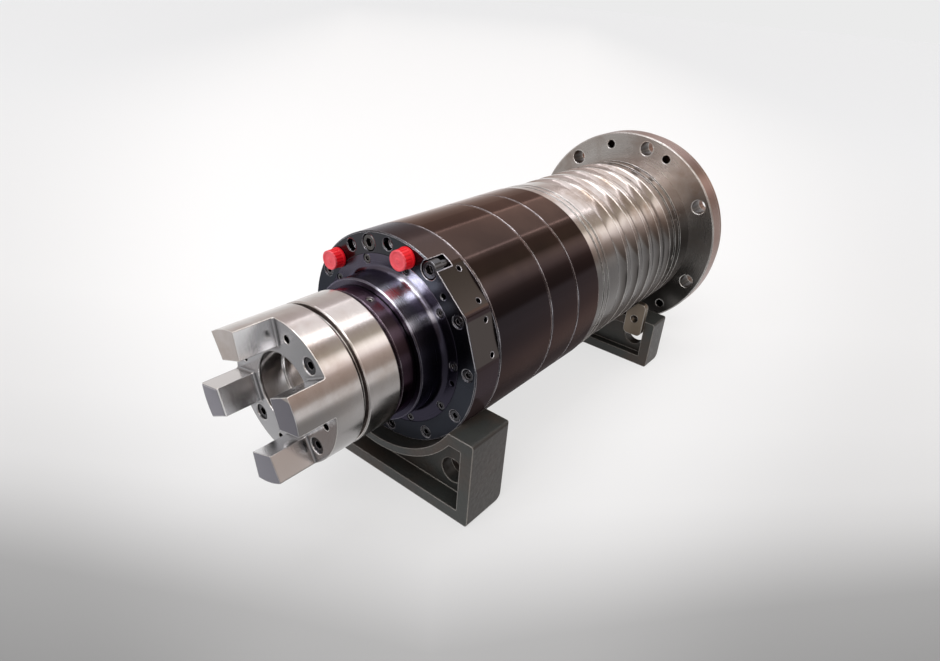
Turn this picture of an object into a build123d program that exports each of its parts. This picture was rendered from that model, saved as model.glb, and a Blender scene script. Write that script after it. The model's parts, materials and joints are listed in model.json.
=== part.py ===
"""Motor spindle with a four-claw nose, lying in two cast stands.

The spindle axis is the X axis and the nose points toward -X. The origin lies on the axis,
in the front face of the mounting flange, the face that seats on a machine. +Z is up.
Angles about the axis are counted from +Y toward +Z.
"""

import os
from math import cos, radians, sin, sqrt

from build123d import *

os.makedirs("parts", exist_ok=True)

# Clearances
seat_gap = 0.05  # radial, between a piece and the bore that locates it
running_gap = 0.3  # between pieces that move past each other
screw_gap = 0.4  # radial, round a screw in a plain hole
face_gap = 0.3  # axial, where two end faces come close without touching

# Housing, from the nose end to the rear
body_r = 100.0
front_flange_length = 33.0
front_housing_length = 81.5
middle_length = 47.5
rear_ring_length = 42.0
sleeve_length = 239.5
flange_rim = 30.0
flange_r = body_r + flange_rim
flange_thickness = 24.0
rear_cover_inset = 3.0
rear_cover_r = flange_r - rear_cover_inset
rear_cover_thickness = 12.5
edge_break = 1.0
register_r = 0.87 * body_r
register_length = 4.0

# Front flange
flat_distance = 0.972 * body_r
flat_angles = (133.5, 161.5)
flat_hole_r = 2.5
flat_hole_depth = 9.0
flat_hole_offset = 15.5
flat_hole_setback = 24.0
face_screw_circle_r = 0.91 * body_r
face_screw_count = 12
face_screw_start = 28.0
face_screw_empty = (52.0, 88.0)
face_screw_r = 3.0
face_screw_head_r = 5.0
face_screw_head_length = 6.0
face_screw_length = 44.0
counterbore_depth = 6.8
port_circle_r = 0.885 * body_r
port_angles = (43.0, 103.0)
port_r = 6.5
port_depth = 20.0
cap_head_r = 9.5
cap_head_length = 11.5
cap_stem_length = 12.0
plug_angle = 73.0
plug_circle_r = 0.895 * body_r
plug_head_r = 7.2
plug_bore_r = 7.6
plug_length = 18.0
rim_bolt_angle = 118.0
rim_bolt_circle_r = 0.935 * body_r
rim_bolt_head_r = 7.8
rim_bore_r = 8.6
large_bolt_head_length = 9.0
rim_bolt_length = 30.0
large_bolt_sink = 0.6
rim_bore_depth = 19.0
large_bolt_r = 5.0
side_hole_angle = 133.0
side_hole_r = 2.5
side_hole_depth = 8.0
mouth_chamfer = 0.6

# Bearing cover and labyrinth ring
cover_plate_r = 0.805 * body_r
cover_plate_thickness = 10.0
cover_boss_r = 0.66 * body_r
cover_boss_length = 28.0
cover_boss_fillet = 5.0
cover_screw_circle_r = (cover_boss_r + cover_boss_fillet + cover_plate_r) / 2
cover_screw_count = 10
cover_screw_start = 32.0
cover_screw_r = 0.02 * body_r
cover_screw_length = 22.0
cover_jack_r = 2.1
cover_jack_start = 69.0
cover_jack_count = 3
labyrinth_r = 0.6 * body_r
labyrinth_width = 15.5
labyrinth_bore_r = 0.5 * body_r
labyrinth_gap = 1.0
set_screw_r = 3.0
set_screw_count = 3
set_screw_start = 104.0

# Shaft
nose_r = 0.623 * body_r
nose_flange_width = 33.6
nose_groove_r = 0.57 * body_r
front_groove_width = 4.8
rear_groove_width = 3.8
lip_r = 0.4 * body_r
lip_length = 4.0
socket_mouth_r = 0.31 * body_r
socket_end_r = 0.25 * body_r
socket_length = 52.0
front_seat_r = 0.45 * body_r
motor_seat_r = 0.4 * body_r
rear_seat_r = 0.35 * body_r
shaft_tail_r = 0.3 * body_r
shaft_tail_length = 12.0
spring_bore_r = 0.24 * body_r

# Claw ring
claw_height = 33.3
claw_ring_thickness = 27.5
claw_count = 4
claw_start = 70.0
claw_inner_r = 0.38 * body_r
claw_outer_width = 0.31 * body_r
claw_inner_width = 0.24 * body_r
claw_root_fillet = 2.0
claw_tip_chamfer = 1.2
nose_bore_r = 0.325 * body_r
nose_hole_circle_r = 0.5 * body_r
nose_tapped_r = 3.4
nose_tapped_depth = 16.0
nose_tapped_shift = -15.0
nose_screw_shift = 17.0
nose_screw_r = 4.0
nose_screw_head_r = 6.5
nose_screw_head_length = 8.0
nose_screw_sink = 1.5
nose_screw_length = 34.0

# Front bearings
front_bearing_r = 0.7 * body_r
front_bearing_width = 24.0
front_bearing_setback = 2.5
front_spacer_width = 8.0
front_shoulder_r = 0.64 * body_r
race_wall = 0.28 * (front_bearing_r - front_seat_r)
ball_r = 0.304 * (front_bearing_r - front_seat_r)
ball_count = 12
cage_wall = 3.0
cage_width = 13.0
front_nut_r = 0.58 * body_r
front_nut_width = 14.0
nut_slot_width = 8.0
nut_slot_count = 4

# Motor
stator_r = 0.8 * body_r
stator_bore_r = 0.525 * body_r
stator_length = 0.626 * sleeve_length
stator_setback = 0.4 * sleeve_length
winding_length = 26.0
winding_r = 0.76 * body_r
winding_bore_r = 0.56 * body_r
rotor_core_r = 0.52 * body_r
balance_ring_width = 9.0
balance_ring_r = 0.49 * body_r
middle_bore_r = 0.72 * body_r

# Rear bearing
rear_housing_length = 50.0
rear_bearing_r = 0.55 * body_r
rear_bearing_width = 20.0
rear_bearing_setback = 34.0
rear_shoulder_r = 0.5 * body_r
roller_r = 0.25 * (rear_bearing_r - rear_seat_r)
roller_length = 13.0
roller_count = 14
rear_nut_r = 0.44 * body_r
rear_nut_width = 10.0
encoder_r = 0.38 * body_r
encoder_width = 6.0
encoder_setback = 2.0
encoder_notch_r = 1.5
encoder_notch_count = 12
sensor_height = 8.0
sensor_width = 18.0
sensor_gap = 1.0

# Cooling sleeve
sleeve_r = 0.98 * body_r
sleeve_collar_r = 0.99 * body_r
sleeve_collar_length = 25.0
collar_groove_width = 3.0
collar_groove_depth = 1.2
collar_groove_places = (12.0, 21.0)
coolant_channel_share = 0.76
coolant_channel_depth = 3.0
coolant_channel_first = 0.24 * sleeve_length
coolant_channel_pitch = 0.1186 * sleeve_length
coolant_channel_count = 5
seal_groove_width = 5.5
seal_groove_depth = 2.0
seal_groove_rears = (29.0, 43.8)
sleeve_hole_r = 2.5
sleeve_hole_depth = 8.0
sleeve_hole_rear = 50.0
sleeve_hole_angle = 178.0

# Mounting flange and rear cover
mounting_hole_margin = 14.5
mounting_circle_r = flange_r - mounting_hole_margin
mounting_hole_count = 7
mounting_hole_start = 47.0
mounting_hole_r = 8.75
jack_hole_angles = (73.0, 113.0, 227.0)
jack_hole_r = 5.1
flange_screw_circle_r = 0.89 * body_r
flange_screw_count = 8
flange_screw_r = 4.0
flange_screw_head_r = 6.5
flange_screw_head_length = 8.0
flange_screw_length = 34.0
cover_bolt_circle_r = 0.98 * body_r
cover_bolt_count = 6
cover_bolt_start = 22.5
cover_bolt_r = 3.0
cover_bolt_head_r = 5.0
cover_bolt_head_length = 6.0
cover_bolt_length = 16.0

# Drawbar and gripper
drawbar_r = 0.14 * body_r
drawbar_neck_r = 0.09 * body_r
drawbar_head_r = 0.18 * body_r
drawbar_head_length = 12.0
drawbar_neck_length = 30.0
spring_length = 120.0
spring_setback = 300.0
spring_count = 16
spring_thickness = 3.6
spring_outer_r = 0.23 * body_r
spring_bore_gap = 0.6
collar_width = 12.0
drawbar_tail_r = 0.18 * body_r
drawbar_tail_end = 22.0
drawbar_travel = 8.0
gripper_count = 6
gripper_r = 0.21 * body_r
gripper_length = 20.0
gripper_slot = 2.0

# Release unit
cylinder_r = 0.78 * body_r
cylinder_bore_r = 0.6 * body_r
cylinder_length = 56.0
cylinder_cap_thickness = 12.0
piston_thickness = 16.0
piston_rod_r = 0.15 * body_r
cylinder_screw_circle_r = (cylinder_r + cylinder_bore_r) / 2
cylinder_screw_count = 6
cylinder_screw_r = 4.0
cylinder_screw_head_r = 6.5
cylinder_screw_head_length = 8.0
cylinder_screw_grip = 8.0
fitting_r = 6.0
fitting_hex_r = 9.0
fitting_hex_height = 7.0
fitting_stub_r = 5.0
fitting_stub_height = 9.0
fitting_bore_r = 2.5
fitting_thread_length = 9.0
fitting_inset = 9.0

# Stands
front_stand_half_width = 1.145 * body_r
rear_stand_half_width = 1.08 * body_r
stand_floor = -1.4 * body_r
front_stand_top = -0.5 * body_r
rear_stand_top = -0.78 * body_r
front_stand_depth = 52.0
rear_stand_depth = 36.0
stand_rim = 13.0
stand_base = 12.0
stand_saddle_wall = 8.0
stand_web = 14.0
stand_hole_r = 13.0
stand_hole_y = 0.8 * body_r
stand_hole_z = -1.06 * body_r
stand_edge_fillet = 9.0
stand_corner_fillet = 3.0
front_stand_overhang = 15.5
rear_stand_front = 81.5
stand_screw_y = 20.0
stand_screw_r = 4.0
stand_screw_head_r = 6.5
stand_screw_head_length = 8.0
stand_screw_sink = 4.0
stand_screw_bite = 11.0
lug_width = 24.0
lug_height = 44.0
lug_thickness = 8.0
lug_hole_r = 5.0
lug_y = -0.83 * body_r
lug_z = -0.75 * body_r

# Stations along the axis
x_sleeve = -sleeve_length
x_rear_ring = x_sleeve - rear_ring_length
x_middle = x_rear_ring - middle_length
x_front_housing = x_middle - front_housing_length
x_face = x_front_housing - front_flange_length
x_boss = x_face - cover_boss_length
x_labyrinth_rear = x_boss - labyrinth_gap
x_labyrinth = x_labyrinth_rear - labyrinth_width
x_nose_rear = x_labyrinth - rear_groove_width
x_nose_front = x_nose_rear - nose_flange_width
x_claw_rear = x_nose_front - front_groove_width
x_floor = x_claw_rear - claw_ring_thickness
x_lip = x_claw_rear - lip_length

x_bearing_1 = x_front_housing + front_bearing_setback
x_spacer = x_bearing_1 + front_bearing_width
x_bearing_2 = x_spacer + front_spacer_width
x_front_nut = x_bearing_2 + front_bearing_width
x_motor_seat = x_front_nut + front_nut_width
x_stator_rear = -stator_setback
x_stator = x_stator_rear - stator_length
x_rear_housing = -rear_housing_length
x_rear_bearing = -rear_bearing_setback
x_rear_nut = x_rear_bearing + rear_bearing_width
x_rear_nut_end = x_rear_nut + rear_nut_width
x_encoder = encoder_setback
x_shaft_end = shaft_tail_length
x_rear_cover = flange_thickness
x_cylinder = x_rear_cover + rear_cover_thickness
x_cap = x_cylinder + cylinder_length
x_end = x_cap + cylinder_cap_thickness
x_spring = -spring_setback
x_collar = x_spring + spring_length
x_drawbar_nose = x_claw_rear + drawbar_travel
x_head_rear = x_drawbar_nose + drawbar_head_length
x_neck_rear = x_head_rear + drawbar_neck_length
x_socket_end = x_lip + socket_length
x_front_stand = x_face - front_stand_overhang
x_rear_stand = -rear_stand_front

cover_bore_r = labyrinth_bore_r + running_gap
front_bore_r = front_bearing_r + seat_gap
stator_seat_r = stator_r + seat_gap
ball_circle_r = (front_seat_r + front_bearing_r) / 2
roller_circle_r = (rear_seat_r + rear_bearing_r) / 2
hex_socket_share = 0.58
match_gap = 0.01
full_turn = 360.0
face_screw_bite = face_screw_length + counterbore_depth - face_screw_head_length - front_flange_length
stands = (
    ("front_stand", x_front_stand, front_stand_depth, front_stand_half_width, front_stand_top, body_r),
    ("rear_stand", x_rear_stand, rear_stand_depth, rear_stand_half_width, rear_stand_top, sleeve_r),
)


def polar_point(radius, angle):
    """Y and Z of a point at this radius and angle about the axis."""
    return (radius * cos(radians(angle)), radius * sin(radians(angle)))


def across(x):
    """Plane across the spindle axis at x, with its normal along +X."""
    return Plane.YZ.offset(x)


def angles(count, start, left_out=()):
    """Evenly spaced angles, without those nearest to the ones left out."""
    step = full_turn / count
    kept = []
    for index in range(count):
        angle = start + index * step
        gaps = [abs((angle - other + full_turn / 2) % full_turn - full_turn / 2) for other in left_out]
        if not gaps or min(gaps) > step / 2:
            kept.append(angle)
    return kept


def points(radius, angle_list):
    """Points on one circle about the axis, for Locations in a plane across it."""
    return [polar_point(radius, angle) for angle in angle_list]


def stand_screw_points(stand_x, stand_depth):
    """X and Y of the two screws that rise through a stand's web, which is in its middle."""
    screw_x = stand_x + stand_depth / 2
    return ((screw_x, -stand_screw_y), (screw_x, stand_screw_y))


def break_mouths(builder, x, radius):
    """Chamfers every round edge of this radius that lies in the plane at x."""
    mouths = builder.edges().filter_by(GeomType.CIRCLE).filter_by(
        lambda edge: abs(edge.radius - radius) < match_gap and abs(edge.center().X - x) < match_gap
    )
    chamfer(mouths, mouth_chamfer)


def socket_screws(name, x_head, point_list, shank_r, head_r, head_length, length, toward=1):
    """Socket-head screws as one group: the head's top at x_head, the shank toward +X or -X."""
    with BuildPart() as screws:
        with BuildSketch(across(x_head)):
            with Locations(*point_list):
                Circle(head_r)
        extrude(amount=toward * head_length)
        with BuildSketch(across(x_head + toward * head_length)):
            with Locations(*point_list):
                Circle(shank_r)
        extrude(amount=toward * (length - head_length))
        with BuildSketch(across(x_head)):
            with Locations(*point_list):
                RegularPolygon(head_r * hex_socket_share, 6)
        extrude(amount=toward * head_length * hex_socket_share, mode=Mode.SUBTRACT)
    screws.part.label = name
    export_step(screws.part, f"parts/{name}.step")


plug_point = polar_point(plug_circle_r, plug_angle)
rim_bolt_point = polar_point(rim_bolt_circle_r, rim_bolt_angle)
face_screw_angles = angles(face_screw_count, face_screw_start, (rim_bolt_angle,) + face_screw_empty)
face_hole_angles = angles(face_screw_count, face_screw_start, (rim_bolt_angle,))
cover_jack_angles = angles(cover_jack_count, cover_jack_start)

with BuildPart() as front_flange:
    with BuildSketch(across(x_face)):
        Circle(body_r)
        Circle(front_bore_r, mode=Mode.SUBTRACT)
    extrude(amount=front_flange_length)
    chamfer(front_flange.edges().filter_by(GeomType.CIRCLE).sort_by(SortBy.RADIUS)[-2:], edge_break)
    with BuildSketch(across(x_face)):
        Circle(cover_plate_r + seat_gap)
    extrude(amount=cover_plate_thickness, mode=Mode.SUBTRACT)
    with BuildSketch(across(x_front_housing)):
        Circle(register_r + seat_gap)
    extrude(amount=-register_length - face_gap, mode=Mode.SUBTRACT)
    for angle in flat_angles:
        flat = Plane(
            origin=(x_face, *polar_point(flat_distance, angle)),
            x_dir=(1, 0, 0),
            z_dir=(0, *polar_point(1, angle)),
        )
        with BuildSketch(flat):
            with Locations((front_flange_length / 2, 0)):
                Rectangle(front_flange_length, body_r)
        extrude(amount=body_r - flat_distance + edge_break, mode=Mode.SUBTRACT)
        with BuildSketch(flat):
            with Locations(
                (flat_hole_setback, -flat_hole_offset),
                (flat_hole_setback, flat_hole_offset),
            ):
                Circle(flat_hole_r)
        extrude(amount=-flat_hole_depth, mode=Mode.SUBTRACT)
    with BuildSketch(across(x_face)):
        with Locations(*points(face_screw_circle_r, face_hole_angles)):
            Circle(face_screw_r + screw_gap)
    extrude(amount=front_flange_length, mode=Mode.SUBTRACT)
    with BuildSketch(across(x_face)):
        with Locations(*points(face_screw_circle_r, face_hole_angles)):
            Circle(face_screw_head_r + screw_gap)
    extrude(amount=counterbore_depth, mode=Mode.SUBTRACT)
    with BuildSketch(across(x_face)):
        with Locations(*points(port_circle_r, port_angles)):
            Circle(port_r)
    extrude(amount=port_depth, mode=Mode.SUBTRACT)
    with BuildSketch(across(x_face)):
        with Locations(plug_point):
            Circle(large_bolt_r + seat_gap)
    extrude(amount=plug_length + large_bolt_sink + face_gap, mode=Mode.SUBTRACT)
    with BuildSketch(across(x_face)):
        with Locations(rim_bolt_point):
            Circle(large_bolt_r + seat_gap)
    extrude(amount=rim_bolt_length + large_bolt_sink + face_gap, mode=Mode.SUBTRACT)
    with BuildSketch(across(x_face)):
        with Locations(plug_point):
            Circle(plug_bore_r)
    extrude(amount=large_bolt_head_length + large_bolt_sink, mode=Mode.SUBTRACT)
    with BuildSketch(across(x_face)):
        with Locations(polar_point(port_circle_r, side_hole_angle)):
            Circle(side_hole_r)
    extrude(amount=side_hole_depth, mode=Mode.SUBTRACT)
    break_mouths(front_flange, x_face, side_hole_r)
    break_mouths(front_flange, x_face, plug_bore_r)
    break_mouths(front_flange, x_face, port_r)
    break_mouths(front_flange, x_face, face_screw_head_r + screw_gap)
    with BuildSketch(across(x_face)):
        with Locations(rim_bolt_point):
            Circle(rim_bore_r)
    extrude(amount=rim_bore_depth, mode=Mode.SUBTRACT)
    with BuildSketch(across(x_face + cover_plate_thickness)):
        with Locations(*points(cover_screw_circle_r, angles(cover_screw_count, cover_screw_start))):
            Circle(cover_screw_r + seat_gap)
    extrude(amount=cover_screw_length - cover_plate_thickness + face_gap, mode=Mode.SUBTRACT)
    with BuildSketch(Plane.XY.offset(-body_r)):
        with Locations(*stand_screw_points(x_front_stand, front_stand_depth)):
            Circle(stand_screw_r + seat_gap)
    extrude(amount=stand_screw_bite + face_gap, mode=Mode.SUBTRACT)
front_flange.part.label = "front_flange"
export_step(front_flange.part, "parts/front_flange.step")

socket_screws(
    "front_flange_screws",
    x_face + counterbore_depth - face_screw_head_length,
    points(face_screw_circle_r, face_screw_angles),
    face_screw_r,
    face_screw_head_r,
    face_screw_head_length,
    face_screw_length,
)

with BuildPart() as bearing_cover:
    with BuildSketch(Plane.XZ):
        with BuildLine():
            Polyline(
                (x_boss, cover_bore_r),
                (x_boss, cover_boss_r - edge_break),
                (x_boss + edge_break, cover_boss_r),
                (x_face, cover_boss_r),
                (x_face, cover_plate_r),
                (x_face + cover_plate_thickness, cover_plate_r),
                (x_face + cover_plate_thickness, front_bearing_r),
                (x_bearing_1, front_bearing_r),
                (x_bearing_1, front_bearing_r - race_wall),
                (x_bearing_1 - front_spacer_width, cover_bore_r),
                (x_boss, cover_bore_r),
            )
        make_face()
    revolve(axis=Axis.X)
    boss_root = bearing_cover.edges().filter_by(GeomType.CIRCLE).filter_by(
        lambda edge: abs(edge.radius - cover_boss_r) < match_gap
        and abs(edge.center().X - x_face) < match_gap
    )
    fillet(boss_root, cover_boss_fillet)
    with BuildSketch(across(x_face)):
        with Locations(*points(cover_screw_circle_r, angles(cover_screw_count, cover_screw_start))):
            Circle(cover_screw_r + screw_gap)
    extrude(amount=cover_plate_thickness, mode=Mode.SUBTRACT)
    with BuildSketch(across(x_face)):
        with Locations(*points(cover_screw_circle_r, angles(cover_screw_count, cover_screw_start))):
            Circle(2 * cover_screw_r + screw_gap)
    extrude(amount=2 * cover_screw_r + screw_gap, mode=Mode.SUBTRACT)
    with BuildSketch(across(x_face)):
        with Locations(*points(cover_screw_circle_r, cover_jack_angles)):
            Circle(cover_jack_r)
    extrude(amount=cover_plate_thickness, mode=Mode.SUBTRACT)
    break_mouths(bearing_cover, x_face, cover_jack_r)
bearing_cover.part.label = "bearing_cover"
export_step(bearing_cover.part, "parts/bearing_cover.step")

socket_screws(
    "bearing_cover_screws",
    x_face + screw_gap,
    points(cover_screw_circle_r, angles(cover_screw_count, cover_screw_start)),
    cover_screw_r,
    2 * cover_screw_r,
    2 * cover_screw_r,
    cover_screw_length - screw_gap,
)

for bolt_name, bolt_point, bolt_head_r, bolt_length in (
    ("port_plug_bolt", plug_point, plug_head_r, plug_length),
    ("rim_bolt", rim_bolt_point, rim_bolt_head_r, rim_bolt_length),
):
    with BuildPart() as large_bolt:
        with BuildSketch(across(x_face + large_bolt_sink)):
            with Locations(bolt_point):
                Circle(bolt_head_r)
        extrude(amount=large_bolt_head_length)
        chamfer(large_bolt.edges().group_by(Axis.X)[0], mouth_chamfer)
        with BuildSketch(across(x_face + large_bolt_sink + large_bolt_head_length)):
            with Locations(bolt_point):
                Circle(large_bolt_r)
        extrude(amount=bolt_length - large_bolt_head_length)
        with BuildSketch(across(x_face + large_bolt_sink)):
            with Locations(bolt_point):
                RegularPolygon(bolt_head_r * hex_socket_share, 6)
        extrude(amount=large_bolt_head_length * hex_socket_share, mode=Mode.SUBTRACT)
    large_bolt.part.label = bolt_name
    export_step(large_bolt.part, f"parts/{bolt_name}.step")

for cap_name, cap_angle in zip(("port_cap_right", "port_cap_left"), port_angles):
    cap_point = polar_point(port_circle_r, cap_angle)
    with BuildPart() as port_cap:
        with BuildSketch(across(x_face - face_gap)):
            with Locations(cap_point):
                Circle(cap_head_r)
        extrude(amount=-cap_head_length)
        chamfer(port_cap.edges().filter_by(GeomType.CIRCLE).group_by(Axis.X)[0], edge_break)
        with BuildSketch(across(x_face - face_gap)):
            with Locations(cap_point):
                Circle(port_r - running_gap)
        extrude(amount=cap_stem_length)
    port_cap.part.label = cap_name
    export_step(port_cap.part, f"parts/{cap_name}.step")

with BuildPart() as front_bearing_housing:
    with BuildSketch(Plane.XZ):
        with BuildLine():
            Polyline(
                (x_front_housing - register_length, front_bore_r),
                (x_front_housing - register_length, register_r),
                (x_front_housing, register_r),
                (x_front_housing, body_r - edge_break),
                (x_front_housing + edge_break, body_r),
                (x_middle - edge_break, body_r),
                (x_middle, body_r - edge_break),
                (x_middle, register_r + seat_gap),
                (x_middle - register_length - face_gap, register_r + seat_gap),
                (x_middle - register_length - face_gap, front_shoulder_r),
                (x_front_nut, front_shoulder_r),
                (x_front_nut, front_bore_r),
                (x_front_housing - register_length, front_bore_r),
            )
        make_face()
    revolve(axis=Axis.X)
    with BuildSketch(across(x_front_housing)):
        with Locations(*points(face_screw_circle_r, face_screw_angles)):
            Circle(face_screw_r + seat_gap)
    extrude(amount=face_screw_bite + face_gap, mode=Mode.SUBTRACT)
front_bearing_housing.part.label = "front_bearing_housing"
export_step(front_bearing_housing.part, "parts/front_bearing_housing.step")

with BuildPart() as middle_housing:
    with BuildSketch(Plane.XZ):
        with BuildLine():
            Polyline(
                (x_middle - register_length, middle_bore_r),
                (x_middle - register_length, register_r),
                (x_middle, register_r),
                (x_middle, body_r - edge_break),
                (x_middle + edge_break, body_r),
                (x_rear_ring - edge_break, body_r),
                (x_rear_ring, body_r - edge_break),
                (x_rear_ring, register_r + seat_gap),
                (x_rear_ring - register_length - face_gap, register_r + seat_gap),
                (x_rear_ring - register_length - face_gap, middle_bore_r),
                (x_middle - register_length, middle_bore_r),
            )
        make_face()
    revolve(axis=Axis.X)
middle_housing.part.label = "middle_housing"
export_step(middle_housing.part, "parts/middle_housing.step")

with BuildPart() as rear_ring:
    with BuildSketch(Plane.XZ):
        with BuildLine():
            Polyline(
                (x_rear_ring - register_length, stator_seat_r),
                (x_rear_ring - register_length, register_r),
                (x_rear_ring, register_r),
                (x_rear_ring, body_r - edge_break),
                (x_rear_ring + edge_break, body_r),
                (x_sleeve - edge_break, body_r),
                (x_sleeve, body_r - edge_break),
                (x_sleeve, register_r + seat_gap),
                (x_sleeve - register_length - face_gap, register_r + seat_gap),
                (x_sleeve - register_length - face_gap, stator_seat_r),
                (x_rear_ring - register_length, stator_seat_r),
            )
        make_face()
    revolve(axis=Axis.X)
rear_ring.part.label = "rear_ring"
export_step(rear_ring.part, "parts/rear_ring.step")

with BuildPart() as cooling_sleeve:
    with BuildSketch(Plane.XZ):
        with BuildLine():
            Polyline(
                (x_sleeve - register_length, stator_seat_r),
                (x_sleeve - register_length, register_r),
                (x_sleeve, register_r),
                (x_sleeve, sleeve_collar_r),
                (x_sleeve + sleeve_collar_length, sleeve_collar_r),
                (x_sleeve + sleeve_collar_length + edge_break, sleeve_r),
                (0, sleeve_r),
                (0, stator_seat_r),
                (x_sleeve - register_length, stator_seat_r),
            )
        make_face()
    revolve(axis=Axis.X)
    with BuildSketch(Plane.XZ) as grooves:
        with Locations(*[(x_sleeve + place, sleeve_collar_r) for place in collar_groove_places]):
            Rectangle(collar_groove_width, 2 * collar_groove_depth)
        for index in range(coolant_channel_count):
            place = coolant_channel_first + index * coolant_channel_pitch
            with Locations((x_sleeve + place, sleeve_r)):
                Ellipse(coolant_channel_pitch * coolant_channel_share / 2, coolant_channel_depth)
        with Locations(*[(-place, sleeve_r) for place in seal_groove_rears]):
            Rectangle(seal_groove_width, 2 * seal_groove_depth)
    revolve(axis=Axis.X, mode=Mode.SUBTRACT)
    hole_plane = Plane(
        origin=(-sleeve_hole_rear, *polar_point(sleeve_r, sleeve_hole_angle)),
        x_dir=(1, 0, 0),
        z_dir=(0, *polar_point(1, sleeve_hole_angle)),
    )
    with BuildSketch(hole_plane):
        Circle(sleeve_hole_r)
    extrude(amount=-sleeve_hole_depth, mode=Mode.SUBTRACT)
    with BuildSketch(across(0)):
        with Locations(*points(flange_screw_circle_r, angles(flange_screw_count, 0))):
            Circle(flange_screw_r + seat_gap)
    extrude(amount=-(flange_screw_length - flange_thickness + face_gap), mode=Mode.SUBTRACT)
    with BuildSketch(Plane.XY.offset(-sleeve_r)):
        with Locations(*stand_screw_points(x_rear_stand, rear_stand_depth)):
            Circle(stand_screw_r + seat_gap)
    extrude(amount=stand_screw_bite + face_gap, mode=Mode.SUBTRACT)
cooling_sleeve.part.label = "cooling_sleeve"
export_step(cooling_sleeve.part, "parts/cooling_sleeve.step")

with BuildPart() as mounting_flange:
    with BuildSketch(across(0)):
        Circle(flange_r)
        Circle(stator_seat_r, mode=Mode.SUBTRACT)
        with Locations(
            *points(mounting_circle_r, angles(mounting_hole_count, mounting_hole_start))
        ):
            Circle(mounting_hole_r, mode=Mode.SUBTRACT)
        with Locations(*points(mounting_circle_r, jack_hole_angles)):
            Circle(jack_hole_r, mode=Mode.SUBTRACT)
        with Locations(*points(flange_screw_circle_r, angles(flange_screw_count, 0))):
            Circle(flange_screw_r + screw_gap, mode=Mode.SUBTRACT)
    extrude(amount=flange_thickness)
    chamfer(mounting_flange.edges().filter_by(GeomType.CIRCLE).sort_by(SortBy.RADIUS)[-2:], edge_break)
    with BuildSketch(across(flange_thickness)):
        with Locations(*points(flange_screw_circle_r, angles(flange_screw_count, 0))):
            Circle(flange_screw_head_r + screw_gap)
    extrude(amount=-flange_screw_head_length - face_gap, mode=Mode.SUBTRACT)
    with BuildSketch(across(flange_thickness)):
        with Locations(*points(cover_bolt_circle_r, angles(cover_bolt_count, cover_bolt_start))):
            Circle(cover_bolt_r + seat_gap)
    extrude(amount=-(cover_bolt_length - rear_cover_thickness + face_gap), mode=Mode.SUBTRACT)
    break_mouths(mounting_flange, 0, jack_hole_r)
mounting_flange.part.label = "mounting_flange"
export_step(mounting_flange.part, "parts/mounting_flange.step")

socket_screws(
    "flange_screws",
    flange_thickness - face_gap,
    points(flange_screw_circle_r, angles(flange_screw_count, 0)),
    flange_screw_r,
    flange_screw_head_r,
    flange_screw_head_length,
    flange_screw_length - face_gap,
    toward=-1,
)

with BuildPart() as rear_cover:
    with BuildSketch(Plane.XZ):
        with BuildLine():
            Polyline(
                (x_rear_cover, piston_rod_r + running_gap),
                (x_rear_cover, rear_shoulder_r),
                (x_rear_nut, rear_shoulder_r),
                (x_rear_nut, rear_bearing_r),
                (x_rear_cover, rear_bearing_r),
                (x_rear_cover, rear_cover_r),
                (x_cylinder - edge_break, rear_cover_r),
                (x_cylinder, rear_cover_r - edge_break),
                (x_cylinder, piston_rod_r + running_gap),
                (x_rear_cover, piston_rod_r + running_gap),
            )
        make_face()
    revolve(axis=Axis.X)
    with BuildSketch(across(x_rear_cover)):
        with Locations(
            *points(mounting_circle_r, angles(mounting_hole_count, mounting_hole_start))
        ):
            Circle(mounting_hole_r)
        with Locations(*points(cover_bolt_circle_r, angles(cover_bolt_count, cover_bolt_start))):
            Circle(cover_bolt_r + screw_gap)
    extrude(amount=rear_cover_thickness, mode=Mode.SUBTRACT)
    with BuildSketch(across(x_cylinder)):
        with Locations(*points(cover_bolt_circle_r, angles(cover_bolt_count, cover_bolt_start))):
            Circle(cover_bolt_head_r + screw_gap)
    extrude(amount=-cover_bolt_head_length, mode=Mode.SUBTRACT)
    with BuildSketch(across(x_cylinder)):
        with Locations(*points(cylinder_screw_circle_r, angles(cylinder_screw_count, 0))):
            Circle(cylinder_screw_r + seat_gap)
    extrude(amount=-cylinder_screw_grip - face_gap, mode=Mode.SUBTRACT)
rear_cover.part.label = "rear_cover"
export_step(rear_cover.part, "parts/rear_cover.step")

socket_screws(
    "rear_cover_screws",
    x_cylinder,
    points(cover_bolt_circle_r, angles(cover_bolt_count, cover_bolt_start)),
    cover_bolt_r,
    cover_bolt_head_r,
    cover_bolt_head_length,
    cover_bolt_length,
    toward=-1,
)

with BuildPart() as rear_bearing_housing:
    with BuildSketch(Plane.XZ):
        with BuildLine():
            Polyline(
                (x_rear_housing, rear_shoulder_r),
                (x_rear_housing, stator_r - edge_break),
                (x_rear_housing + edge_break, stator_r),
                (x_rear_cover, stator_r),
                (x_rear_cover, rear_bearing_r + seat_gap),
                (x_rear_bearing, rear_bearing_r + seat_gap),
                (x_rear_bearing, rear_shoulder_r),
                (x_rear_housing, rear_shoulder_r),
            )
        make_face()
    revolve(axis=Axis.X)
rear_bearing_housing.part.label = "rear_bearing_housing"
export_step(rear_bearing_housing.part, "parts/rear_bearing_housing.step")

with BuildPart() as stator_core:
    with BuildSketch(across(x_stator)):
        Circle(stator_r)
        Circle(stator_bore_r, mode=Mode.SUBTRACT)
    extrude(amount=stator_length)
stator_core.part.label = "stator_core"
export_step(stator_core.part, "parts/stator_core.step")

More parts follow.
